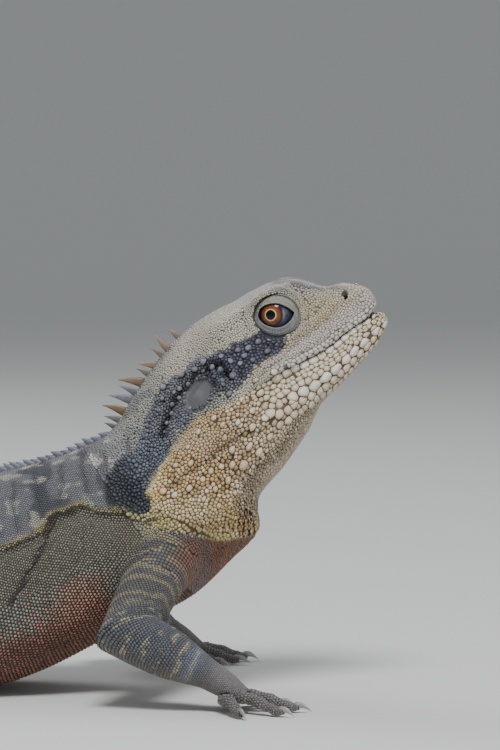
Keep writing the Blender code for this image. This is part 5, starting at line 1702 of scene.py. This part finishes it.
def horn_material(name, roughness):
    """Horn of spines and claws, paler towards the tip."""
    shader = Shader(name)
    grain = shader.noise(1400.0, Detail=3.0)
    shade = shader.stored("level", 2) * 0.5 + grain * 0.5 + 0.35
    shader.set(Base_Color=shader.shaded(shader.stored("tint"), shade),
               Roughness=grain * 0.15 + roughness, Normal=shader.bump(0.3, grain))
    return shader.material


def eye_material(name):
    """The wet eyeball, painted by its own tint."""
    shader = Shader(name)
    shader.set(Base_Color=shader.stored("tint"), Roughness=0.12, Coat_Weight=0.35, Coat_Roughness=0.02,
               Specular_IOR_Level=0.1)
    return shader.material


# Geometry Nodes: horns for the crest, the claws

def horn_tree(name):
    """A node group that stands a curved horn on each point, by the points' own turn and size."""
    tree = bpy.data.node_groups.new(name, "GeometryNodeTree")
    for label, kind in (("Points", "Geometry"), ("Bend", "Float"), ("Flatness", "Float"),
                        ("Sides", "Int"), ("Material", "Material")):
        tree.interface.new_socket(label, in_out="INPUT", socket_type="NodeSocket" + kind)
    tree.interface.new_socket("Horns", in_out="OUTPUT", socket_type="NodeSocketGeometry")
    nodes, links = tree.nodes, tree.links

    def node(kind, settings=None, *numbered, **named):
        made = nodes.new(kind)
        for key, value in (settings or {}).items():
            setattr(made, key, value)
        for key, value in (*enumerate(numbered), *named.items()):
            socket = made.inputs[key if isinstance(key, int) else key.replace("_", " ")]
            if hasattr(value, "is_linked"):
                links.new(value, socket)
            else:
                socket.default_value = value
        return made.outputs

    def maths(operation, *values):
        return node("ShaderNodeMath", {"operation": operation}, *values)[0]

    def stored(label):
        return node("GeometryNodeInputNamedAttribute", {"data_type": "FLOAT_VECTOR"}, Name=label)[0]

    entry = node("NodeGroupInput")
    cone = node("GeometryNodeMeshCone", {"fill_type": "NGON"}, Vertices=entry["Sides"], Side_Segments=7,
                Fill_Segments=1, Radius_Top=0.05, Radius_Bottom=1.0, Depth=1.0)["Mesh"]
    x, y, z = node("ShaderNodeSeparateXYZ", None, node("GeometryNodeInputPosition")[0])
    bend = maths("MULTIPLY", maths("MULTIPLY", z, z), entry["Bend"])
    wider = maths("MULTIPLY_ADD", maths("SINE", maths("MULTIPLY", z, math.pi)), 0.18, 1.0)
    placed = node("ShaderNodeCombineXYZ", None, maths("MULTIPLY_ADD", x, wider, bend),
                  maths("MULTIPLY", y, entry["Flatness"]), z)[0]
    horn = node("GeometryNodeSetPosition", Geometry=cone, Position=placed)[0]
    horn = node("GeometryNodeStoreNamedAttribute", {"data_type": "FLOAT", "domain": "POINT"},
                Geometry=horn, Name="level", Value=z)[0]
    horns = node("GeometryNodeInstanceOnPoints", Points=entry["Points"], Instance=horn,
                 Rotation=stored("turn"), Scale=stored("size"))[0]
    horns = node("GeometryNodeRealizeInstances", Geometry=horns)[0]
    horns = node("GeometryNodeSetShadeSmooth", Geometry=horns)[0]
    horns = node("GeometryNodeSetMaterial", Geometry=horns, Material=entry["Material"])[0]
    links.new(horns, nodes.new("NodeGroupOutput").inputs[0])
    return tree


def stand_horns(name, tree, rows, bend, flat, material, sides):
    """One piece of horns. Each row is a root, the way to its tip, half width, tint and way it leans."""
    roots, tips, widths, tints, leans = zip(*rows)
    mesh = bpy.data.meshes.new(name)
    mesh.from_pydata([tuple(p) for p in (np.asarray(roots, float) + SHIFT) / 1000], [], [])
    turns, sizes = [], []
    for way, width, lean in zip(np.asarray(tips, float), widths, leans):
        length = np.linalg.norm(way)
        up, lean = way / length, np.array(lean, float)
        back = unit(lean - up * (lean @ up))
        side = np.cross(up, back)
        turns.append(tuple(Matrix(np.stack([back, side, up], 1).tolist()).to_euler("XYZ")))
        sizes.append((width / 1000, width / 1000, length / 1000))
    for label, values in (("turn", turns), ("size", sizes)):
        attribute = mesh.attributes.new(label, "FLOAT_VECTOR", "POINT")
        attribute.data.foreach_set("vector", np.array(values, np.float32).ravel())
    set_values(mesh, "tint", np.array(tints))
    obj = bpy.data.objects.new(name, mesh)
    bpy.context.scene.collection.objects.link(obj)
    modifier = obj.modifiers.new("horns", "NODES")
    modifier.node_group = tree
    values = {"Bend": bend, "Flatness": flat, "Sides": sides, "Material": material}
    for item in tree.interface.items_tree:
        if item.in_out == "INPUT" and item.name in values:
            modifier[item.identifier] = values[item.name]
    made = evaluated_mesh(obj)
    obj.modifiers.remove(modifier)
    obj.data = made
    return obj


def bend_horns(obj, rows, shift):
    """Moves each horn's points by what shift gives for its tip, its lean and the share along it."""
    points = read_points(obj.data)
    each = len(points) // len(rows)
    for k, (root, tip, _, _, lean) in enumerate(rows):
        mine = slice(k * each, (k + 1) * each)
        share = np.clip((points[mine] - root) @ unit(tip) / np.linalg.norm(tip), 0, 1)
        points[mine] += shift(tip, lean, share[:, None])
    write_points(obj.data, points)


def back_line(s):
    """The crest's place and its backward and outward directions at a length along the body."""
    at = np.array([s - 1.0, s, s + 1.0])
    back = smooth(KNOTS, RIGHT[:, 0], at)
    under = smooth(KNOTS, RIGHT[:, -1], at)
    back_way = unit(back[2] - back[0])
    out = back[1] - under[1]
    return back[1], back_way, unit(out - back_way * (out @ back_way))


# Settings, operators and panel

def length_setting(name, description, default, low):
    """A setting in metres."""
    return bpy.props.FloatProperty(name=name, description=description, default=default, min=low,
                                   unit="LENGTH", subtype="DISTANCE")


def colour_setting(name, description, default):
    """A colour setting."""
    return bpy.props.FloatVectorProperty(name=name, description=description, subtype="COLOR", size=3,
                                         default=default, min=0, max=1)


class WaterDragonSizes(bpy.types.PropertyGroup):
    """Sizes a user would change."""

    skin_depth: length_setting("Skin Depth", "How far the skin lies under the scales' crowns",
                               0.00045, 0.0001)
    back_spine: length_setting("Back Spine", "Height of the small crest spines on the back",
                               0.0029, 0.0005)
    spine_spacing: length_setting("Spine Spacing", "Distance between the back's crest spines",
                                  0.0032, 0.001)
    pupil: length_setting("Pupil", "Radius of the pupil", 0.0014, 0.0005)
    iris: length_setting("Iris", "Radius of the iris", 0.0034, 0.001)
    seed: bpy.props.IntProperty(name="Seed", description="Seed for the scatter of the scales", default=5)


class WaterDragonColours(bpy.types.PropertyGroup):
    """Colours a user would change."""

    iris: colour_setting("Iris", "Main colour of the iris", (0.095, 0.029, 0.012))
    claw: colour_setting("Claws", "Colour of the claws", (0.36, 0.35, 0.34))
    floor: colour_setting("Floor", "Colour of the studio floor", (0.62, 0.63, 0.62))


SHARED = {}


def tubes_once():
    """The animal's tubes, worked out once."""
    if "tubes" not in SHARED:
        SHARED["tubes"] = make_tubes()
    return SHARED["tubes"]


class WATERDRAGON_OT_skin(bpy.types.Operator):
    """Make the one skin that stands for the nodes of flesh"""

    bl_idname = "waterdragon.skin"
    bl_label = "Skin"

    def execute(self, context):
        sizes = context.scene.water_dragon_sizes
        depth = sizes.skin_depth * 1000
        parts = []
        for number, tube in enumerate(tubes_once()):
            rings = tube.rings - tube.out * depth
            rings[..., 2] = np.maximum(rings[..., 2], 0.02)
            quads, caps = tube_faces(*rings.shape[:2])
            if number == 0:     # the snout's front ring folds flat into a seam on the middle line
                rings[0] = (rings[0] + np.roll(rings[0][::-1], 1, 0)) / 2
                caps = caps[1:]
            obj = mesh_object(tube.name, rings.reshape(-1, 3), [quads, caps])
            tidy_mesh(obj)
            parts.append(obj)
        skin = parts[0]
        boolean(skin, parts[1:], "UNION")
        self.soften(skin)
        wide, high = (size - 0.05 for size in LID_EDGE)
        pegs = [peg(eye_centre(side) + np.array([0, side * 1.0, 0]), (0, side, 0), 12, wide, high)
                for side in (-1, 1)]
        boolean(skin, pegs, "DIFFERENCE")
        boolean(skin, [ball(eye_centre(side), EYE_RADIUS + 0.25) for side in (-1, 1)], "DIFFERENCE")
        pegs = []
        for side in (-1, 1):
            outside = head_point(NOSTRIL_AT[0], side * 9.0, NOSTRIL_AT[1])
            way = head_point(NOSTRIL_AT[0] + 0.5, side * 5.0, NOSTRIL_AT[1] - 1.6) - outside
            pegs.append(peg(outside, way, 3.6, NOSTRIL_RADIUS, NOSTRIL_RADIUS * 0.85, 20))
        boolean(skin, pegs, "DIFFERENCE")
        skin.name = skin.data.name = "skin"
        mesh = skin.data
        mesh.materials.clear()
        mesh.materials.append(skin_material("skin", 0.55, 0.35, 500.0))
        mesh.polygons.foreach_set("use_smooth", np.full(len(mesh.polygons), True))
        self.colour(skin)
        SHARED["skin"] = skin
        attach(skin, BODY)
        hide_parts(*[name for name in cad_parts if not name.startswith("eye")])
        return {"FINISHED"}

    def soften(self, skin):
        """Rounds the creases where limbs meet the body."""
        mesh = skin.data
        points = read_points(mesh)
        weight = np.zeros(len(points))
        for limb, reach in ((ARM_R, 19), (ARM_L, 19), (LEG_R, 24), (LEG_L, 24)):
            root = np.array(limb["joints"][0], float)
            way = unit(np.array(limb["joints"][1], float) - root)
            d = points - root
            along = d @ way
            out = np.linalg.norm(d - along[:, None] * way, axis=1)
            near = (1 - blend(reach - 7, reach, out)) * blend(0, 4, along) * (1 - blend(20, 30, along))
            weight = np.maximum(weight, near)
        edges = np.zeros(len(mesh.edges) * 2, np.int32)
        mesh.edges.foreach_get("vertices", edges)
        p, q = edges.reshape(-1, 2).T
        count = len(points)
        degree = np.bincount(p, minlength=count) + np.bincount(q, minlength=count)
        for _ in range(26):
            total = np.stack([np.bincount(p, axis[q], count) + np.bincount(q, axis[p], count)
                              for axis in points.T], -1)
            mean = total / np.maximum(degree, 1)[:, None]
            points += (mean - points) * (0.6 * weight)[:, None]
        write_points(mesh, points)

    def colour(self, skin):
        """Gives the skin the colours that show between its scales."""
        mesh = skin.data
        points, normals = mesh_points(mesh)
        tubes = tubes_once()
        number, i, j, tree = nearest_on_tubes(tubes)
        nearest = np.array([tree.find(p)[1] for p in points])
        number, i, j = number[nearest], i[nearest], j[nearest]
        tint = np.zeros((len(points), 3))
        for n, tube in enumerate(tubes):
            mine = number == n
            if mine.any():
                along, around, _, _ = shares(tube, n, i[mine], j[mine])
                _, tint[mine] = paint(points[mine], tube.name, along, around, normals[mine])
        a, b, c = head_place(points)
        # Painted shade in the mouth's groove
        mouth = bell(c - mouth_line(a), 0.55) * (1 - blend(33, 37, a)) * (a > -1)
        tint = tint * (1 - 0.85 * mouth[:, None])
        # Painted shade inside the nostrils
        hole = np.hypot(a - NOSTRIL_AT[0], c - NOSTRIL_AT[1])
        tint = tint * (1 - 0.95 * (1 - blend(0.7, 1.2, hole)))[:, None]
        # The ear drum's pale glint
        spot = blot(*side_view(points), 200, 393, 3.4, 3.0, 1)[:, None] * (np.abs(b) > 8)[:, None]
        tint = tint * (1 - 0.6 * spot) + srgb(118, 124, 112) * 0.6 * spot
        set_values(mesh, "tint", np.clip(tint, 0, 1))


class WATERDRAGON_OT_scales(bpy.types.Operator):
    """Cover the skin with scales"""

    bl_idname = "waterdragon.scales"
    bl_label = "Scales"

    def execute(self, context):
        skin = SHARED["skin"]
        tubes = tubes_once()
        tree = BVHTree.FromObject(skin, bpy.context.evaluated_depsgraph_get())
        roots = place_roots(tubes, tree, skin.data, context.scene.water_dragon_sizes)
        on_body, along = roots.tube == 0, roots.along
        right = roots.place[:, 1] < 0
        arms = np.array([tube.name.startswith("arm") for tube in tubes])[roots.tube]
        regions = {}
        for part, where in (("head", on_body & (along < 60)),
                            ("neck", on_body & (along >= 60) & (along < SCATTER_END)),
                            ("trunk", on_body & (along >= SCATTER_END) & (along < VENT)),
                            ("tail", on_body & (along >= VENT)), ("arm", arms),
                            ("leg", ~on_body & ~arms)):
            first = along < VENT + 130 if part == "tail" else right
            names = ("front", "end") if part == "tail" else ("right", "left")
            regions[f"scales_{part}_{names[0]}"] = where & first
            regions[f"scales_{part}_{names[1]}"] = where & ~first
        for obj in scale_meshes(roots, tubes, regions, skin_material("scales", 0.42, 0.18, 900.0)):
            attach(obj, BODY)
        return {"FINISHED"}


def lid_loop(count):
    """The eye's opening, the lids' outer edge, their angles, and 1 on the upper lid, 0 on the lower."""
    margin = np.array(EYE_MARGIN + EYE_MARGIN[:2])
    knots = lengths(margin)
    loop = smooth(knots, margin, np.linspace(0, knots[-2], count, endpoint=False))
    angle = np.arctan2(loop[:, 1], loop[:, 0])
    edge = np.stack([LID_EDGE[0] * np.cos(angle), LID_EDGE[1] * np.sin(angle)], -1)
    return loop, edge, angle, blend(-0.15, 0.25, np.sin(angle))


def lid_ring(loop, edge, t, upper):
    """Points of the lids' outer face a share t of the way from the opening to the edge."""
    flat = loop + (edge - loop) * t
    radius = 6.30 + 0.62 * min(t * 1.6, 1.0)
    away = np.linalg.norm(flat, axis=1) * LID_EDGE[1] / np.linalg.norm(edge, axis=1)
    lift = np.sqrt(np.maximum(radius ** 2 - away ** 2, 0.4))
    # A swollen margin, a groove in each lid, and the edge turned in
    lift = lift + 0.22 * math.exp(-((t - 0.12) / 0.10) ** 2)
    lift = lift - 0.20 * math.exp(-((t - 0.62) / 0.05) ** 2) * upper
    lift = lift - 0.16 * math.exp(-((t - 0.4) / 0.05) ** 2) * (1 - upper)
    return flat, lift - 1.6 * max(0, t - 1.0) / 0.14


def lid_roots(tubes):
    """Roots of the fine scales on the lids."""
    loop, edge, _, upper = lid_loop(240)
    places, normals = [], []
    for side in (-1, 1):
        for row, t in enumerate(np.linspace(0.13, 0.97, 8)):
            flat, lift = lid_ring(loop, edge, t, upper)
            ring = np.stack([flat[:, 0], side * lift, flat[:, 1]], -1)
            length = lengths(ring)
            at = np.arange(0.25 * (row % 2), length[-1], 0.46)
            spots = np.stack([np.interp(at, length, ring[:, k]) for k in range(3)], -1)
            places.append(spots + eye_centre(side))
            normals.append(unit(spots * (1.0, 1.2, 1.0)))
    return roots_at(np.concatenate(places), np.concatenate(normals), 0.5, tubes, nearest_on_tubes(tubes),
                    rise=0.2, kind=LID)


class WATERDRAGON_OT_eyes(bpy.types.Operator):
    """Make the eyeballs and their lids"""

    bl_idname = "waterdragon.eyes"
    bl_label = "Eyes"

    def execute(self, context):
        sizes, colours = context.scene.water_dragon_sizes, context.scene.water_dragon_colours
        wet = eye_material("wet_eye")
        lid = skin_material("lids", 0.5, 0.3, 1400.0)
        for side, name in ((-1, "right"), (1, "left")):
            eye = self.eyeball(side, sizes, colours)
            eye.name = "eyeball_" + name
            eye.data.materials.append(wet)
            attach(eye, BODY)
            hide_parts("eye_" + name)
            lids = self.lids(side)
            lids.name = "lids_" + name
            lids.data.materials.append(lid)
            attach(lids, BODY)
        return {"FINISHED"}

    def eyeball(self, side, sizes, colours):
        """One eyeball, painted in rings round the way it looks."""
        pupil, iris = sizes.pupil * 1000 / EYE_RADIUS, sizes.iris * 1000 / EYE_RADIUS
        gaze = unit(np.array([-0.325, side, 0.02]))
        across, up = across_and_up(gaze)
        # Rings close together at the edges of the pupil and the iris
        theta = np.concatenate([np.linspace(*stops) for stops in (
            (0.01, pupil - 0.004, 6), (pupil + 0.004, pupil + 0.075, 4), (pupil + 0.09, iris - 0.01, 12),
            (iris + 0.01, iris + 0.12, 4), (iris + 0.16, math.pi - 0.01, 26))])
        phi = np.linspace(0, 2 * math.pi, 96, endpoint=False)
        radius = EYE_RADIUS + 0.10 * bell(theta, 0.55)
        ring = (np.cos(phi)[:, None] * across + np.sin(phi)[:, None] * up)[None]
        points = gaze * np.cos(theta)[:, None, None] + ring * np.sin(theta)[:, None, None]
        points = points * radius[:, None, None]
        obj = mesh_object("eyeball", (points + eye_centre(side)).reshape(-1, 3),
                          tube_faces(len(theta), len(phi)))
        t, f = np.repeat(theta, len(phi)), np.tile(phi, len(theta))
        forward = points.reshape(-1, 3)[:, 0] / EYE_RADIUS
        # The iris, streaked and darker towards its edge
        streak = (0.5 + 0.5 * np.sin(f * 23 + 3 * np.sin(f * 7)) * np.sin(f * 11 + 1.3))[:, None]
        share = np.clip((t - pupil - 0.08) / (iris - pupil - 0.08), 0, 1)[:, None]
        base = np.array(colours.iris) * (0.55 + 1.1 * streak) * (1.15 - 0.85 * share ** 2)
        base = base + srgb(190, 130, 70) * 0.12 * (1 - share)
        # The dark globe with a pale ring in front, the cream ring round the pupil, the pupil
        tint = np.tile(srgb(44, 44, 62), (len(t), 1))
        white = (bell(t - iris - 0.06, 0.06) * blend(0.2, 0.6, forward))[:, None]
        tint = tint * (1 - white) + srgb(198, 198, 206) * white
        tint = np.where((t < iris)[:, None], base, tint)
        cream = bell(t - pupil - 0.03, 0.025)[:, None]
        tint = tint * (1 - cream) + srgb(206, 186, 150) * cream
        tint = np.where((t < pupil)[:, None], srgb(8, 8, 12), tint)
        tint = tint * (1 - 0.55 * bell(t - iris, 0.03) * (forward < 0.35))[:, None]
        set_values(obj.data, "tint", np.clip(tint, 0, 1))
        tidy_mesh(obj, FINE_MERGE)
        return obj

    def lids(self, side):
        """The two lids as one closed rim round the eye's opening."""
        count = 120
        loop, edge, angle, upper = lid_loop(count)
        outer = (0.0, 0.05, 0.12, 0.2, 0.28, 0.36, 0.44, 0.52, 0.6, 0.68, 0.76, 0.84, 0.9, 0.95, 1.0,
                 1.06, 1.14)
        inner = (1.10, 0.9, 0.6, 0.3, 0.1, -0.012)
        rings = [lid_ring(loop, edge, t, upper) for t in outer]
        for t in inner:
            flat = loop + (edge - loop) * t
            away = np.linalg.norm(flat, axis=1)
            lift = np.sqrt(np.maximum(6.10 ** 2 - away ** 2, 0.0))
            lift = np.where(away > 5.6, np.minimum(lift, 1.4), lift) - (0.2 if t > 1 else 0)
            rings.append((flat, lift))
        points = [np.stack([flat[:, 0], side * lift, flat[:, 1]], -1) for flat, lift in rings]
        points = np.array(points) + eye_centre(side)
        n = len(points)
        i, j = np.meshgrid(np.arange(n), np.arange(count), indexing="ij")
        quads = grid_quads(i, j, (i + 1) % n, (j + 1) % count, count)
        obj = mesh_object("lids", points.reshape(-1, 3), [quads])
        t = np.repeat([*outer, *[-1.0] * len(inner)], count)
        up, around = np.tile(upper, n)[:, None], np.tile(angle, n)
        speckle = 1 + 0.14 * ripple(points.reshape(-1, 3), 0.55, 81)
        top = srgb(148, 145, 136) * ((1 - 0.08 * np.sin(t * 40)) * speckle)[:, None]
        low = srgb(126, 127, 124) * (speckle * (1 - 0.25 * bell(t - 0.62, 0.10)))[:, None]
        beads = (blend(0.1, 0.7, np.sin(around * 34)) * bell(t - 0.20, 0.10) * (1 - up[:, 0]))[:, None]
        low = low * (1 - beads) + srgb(176, 180, 190) * beads
        tint = low * (1 - up) + top * up
        # A dark row along the opening, painted shade in the crease over the upper lid, dark inside
        dark = bell(t - 0.02, 0.07)[:, None]
        tint = (tint * (1 - 0.75 * dark) + srgb(52, 54, 70) * 0.75 * dark * (1 - up)
                + srgb(66, 56, 44) * 0.75 * dark * up)
        # Painted shade in the crease over the upper lid
        arc = bell(t - 0.93, 0.06) * np.clip(1.2 * up[:, 0] - 0.1, 0, 1)
        tint = tint * (1 - 0.85 * arc)[:, None]
        tint = np.where((t < -0.5)[:, None], srgb(40, 32, 32), tint)
        set_values(obj.data, "tint", np.clip(tint, 0, 1))
        tidy_mesh(obj, FINE_MERGE)
        return obj


class WATERDRAGON_OT_crest(bpy.types.Operator):
    """Stand the crest's spines on the nape, back and tail"""

    bl_idname = "waterdragon.crest"
    bl_label = "Crest"

    def execute(self, context):
        horn = horn_material("spine_horn", 0.42)
        tree = horn_tree("Horns")
        rows = self.nape_rows()
        nape = stand_horns("nape_crest", tree, rows, 0.0, 0.42, horn, 12)
        bend_horns(nape, rows, self.curl)
        rows = self.back_rows(context.scene.water_dragon_sizes)
        back = stand_horns("back_crest", tree, rows, 0.35, 0.5, horn, 8)
        for obj in (nape, back):
            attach(obj, BODY)
        return {"FINISHED"}

    def nape_rows(self):
        """The nape's spines, each from its place in the photo."""
        along = np.arange(HEAD[-1][0] - 10, SHOULDER + 12, 0.25)
        line = smooth(KNOTS, RIGHT[:, 0], along)
        rows = []
        for (x, z, dx, dz), brown in zip(NAPE, NAPE_COLOURS):
            place, _, out = back_line(along[np.hypot(line[:, 0] - x, line[:, 2] - z).argmin()])
            tip = np.array([dx, 0.0, dz])
            length = float(np.hypot(dx, dz))
            rows.append((place - out * 1.1, tip * 0.92 + out * 1.1 + out * 0.10 * length,
                         0.52 + 0.15 * length, srgb(*brown) * np.array([0.74, 0.76, 0.74]),
                         unit(tip) - out * 0.2))
        return rows

    def back_rows(self, sizes):
        """The small spines from the shoulder over back and tail, lower towards the tail's end."""
        rows, s = [], SHOULDER + 2.0
        step = sizes.spine_spacing * 1000
        rng = np.random.default_rng(3)
        while s < KNOTS[-1] - 90:
            place, back_way, out = back_line(s)
            tail = max(0.0, (s - VENT) / 330)
            height = sizes.back_spine * 1000 * (1 - 0.62 * tail) * rng.uniform(0.74, 1.08)
            turn = rng.uniform(0.66, 0.92)
            tip = out * math.cos(turn) + back_way * math.sin(turn)
            grey = srgb(108, 112, 126) if s < VENT else srgb(96, 94, 92)
            width = (0.95 + 0.2 * height) * (1 - 0.35 * tail)
            tint = grey * rng.uniform(0.7, 1.15)
            rows.append((place - out * 1.0, tip * height + out * 1.0, width, tint, back_way))
            s += step * (1 + 0.45 * tail) * rng.uniform(0.88, 1.12)
        return rows

    def curl(self, tip, lean, share):
        """Curls a spine backwards towards its tip."""
        up = unit(tip)
        back = unit(lean - up * (lean @ up))
        return (back * 0.20 * np.linalg.norm(tip)) * (share ** 2 - share * 0.8)


class WATERDRAGON_OT_claws(bpy.types.Operator):
    """Put a claw on every digit"""

    bl_idname = "waterdragon.claws"
    bl_label = "Claws"

    def execute(self, context):
        tint = np.array(context.scene.water_dragon_colours.claw)
        rows = []
        for _, limb, kind in LIMBS:
            for line, _, out in digit_lines(limb, kind):
                start = line[-1] - out * 1.6 + np.array([0, 0, 0.35])
                end = line[-1] - out * 1.3 + out * kind["claw"] * 1.08
                end[2] = 0.30
                rows.append((start, end - start, kind["digit"] * 0.56, tint, (0, 0, -1)))
        horn = horn_material("claw_horn", 0.3)
        claws = stand_horns("claws", horn_tree("Claws"), rows, 0.0, 0.62, horn, 12)
        bend_horns(claws, rows, self.arch)
        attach(claws, BODY)
        return {"FINISHED"}

    def arch(self, tip, lean, share):
        """Arches a claw up in its middle."""
        return np.array([0, 0, 0.9]) * np.sin(math.pi * share)


# Name, place, size and power of each light, in metres and watts
LIGHTS = (("key", (0.30, -0.75, 1.30), 0.5, 21.0), ("fill", (1.3, -0.9, 0.5), 0.9, 4.0),
          ("rim", (-0.5, 0.9, 1.0), 0.8, 8.0))
BACKDROP = {"front": -12.0, "bend": 3.0, "radius": 4, "top": 12.0, "half": 14.0}    # in metres


class WATERDRAGON_OT_stage(bpy.types.Operator):
    """Set the floor, the lights and the camera"""

    bl_idname = "waterdragon.stage"
    bl_label = "Stage"

    def execute(self, context):
        scene = context.scene
        colours = scene.water_dragon_colours
        start, r, half = BACKDROP["bend"], BACKDROP["radius"], BACKDROP["half"]
        profile = [(BACKDROP["front"], 0.0), (start, 0.0)]
        profile += [(start + r * math.sin(t), r - r * math.cos(t))
                    for t in np.linspace(0, math.pi / 2, 40)[1:]]
        profile += [(start + r, BACKDROP["top"])]
        points = [(x, y, z) for y, z in profile for x in (-half, half)]
        faces = [(2 * k, 2 * k + 1, 2 * k + 3, 2 * k + 2) for k in range(len(profile) - 1)]
        mesh = bpy.data.meshes.new("floor")
        mesh.from_pydata(points, [], faces)
        floor = bpy.data.objects.new("floor", mesh)
        scene.collection.objects.link(floor)
        mesh.polygons.foreach_set("use_smooth", np.full(len(mesh.polygons), True))
        shader = Shader("floor")
        shader.set(Base_Color=(*colours.floor, 1), Roughness=0.8)
        mesh.materials.append(shader.material)
        world = bpy.data.worlds.new("studio")
        scene.world = world
        world.use_nodes = True
        background = world.node_tree.nodes["Background"]
        background.inputs[0].default_value = (0.93, 0.96, 1.0, 1)
        background.inputs[1].default_value = 0.42
        target = Vector((0.28, 0.0, 0.07))
        for name, place, size, power in LIGHTS:
            light = bpy.data.lights.new(name, "AREA")
            light.shape, light.size, light.energy = "DISK", size, power
            lamp = bpy.data.objects.new(name, light)
            lamp.location = place
            lamp.rotation_euler = (Vector(place) - target).to_track_quat("Z", "Y").to_euler()
            scene.collection.objects.link(lamp)
        camera = bpy.data.objects.new("camera", bpy.data.cameras.new("camera"))
        scene.collection.objects.link(camera)
        camera.data.clip_start, camera.data.clip_end = 0.05, 20
        camera.data.angle = 2 * math.atan(375 / PIXELS / CAMERA_FAR)
        at = np.array([PIXEL_AT[0], 0.0, PIXEL_AT[1]]) + SHIFT
        away = np.array([0.0, -math.cos(CAMERA_RISE), math.sin(CAMERA_RISE)]) * CAMERA_FAR
        camera.location = Vector((at + away) / 1000)
        camera.rotation_euler = Vector(away).to_track_quat("Z", "Y").to_euler()
        scene.camera = camera
        return {"FINISHED"}


STEPS = (WATERDRAGON_OT_skin, WATERDRAGON_OT_scales, WATERDRAGON_OT_eyes, WATERDRAGON_OT_crest,
         WATERDRAGON_OT_claws, WATERDRAGON_OT_stage)


class WATERDRAGON_PT_panel(bpy.types.Panel):
    """Lists the steps and settings"""

    bl_label = "Water Dragon"
    bl_idname = "WATERDRAGON_PT_panel"
    bl_space_type = "VIEW_3D"
    bl_region_type = "UI"
    bl_category = "Water Dragon"

    def draw(self, context):
        for group in (context.scene.water_dragon_sizes, context.scene.water_dragon_colours):
            for name in group.__annotations__:
                self.layout.prop(group, name)
        for step in STEPS:
            self.layout.operator(step.bl_idname)


CLASSES = (WaterDragonSizes, WaterDragonColours, *STEPS, WATERDRAGON_PT_panel)


def register():
    for each in CLASSES:
        bpy.utils.register_class(each)
    bpy.types.Scene.water_dragon_sizes = bpy.props.PointerProperty(type=WaterDragonSizes)
    bpy.types.Scene.water_dragon_colours = bpy.props.PointerProperty(type=WaterDragonColours)


def unregister():
    del bpy.types.Scene.water_dragon_sizes
    del bpy.types.Scene.water_dragon_colours
    for each in reversed(CLASSES):
        bpy.utils.unregister_class(each)


def main():
    """Makes everything in order."""
    register()
    for step in STEPS:
        group, name = step.bl_idname.split(".")
        getattr(getattr(bpy.ops, group), name)()


if __name__ == "__main__":
    main()
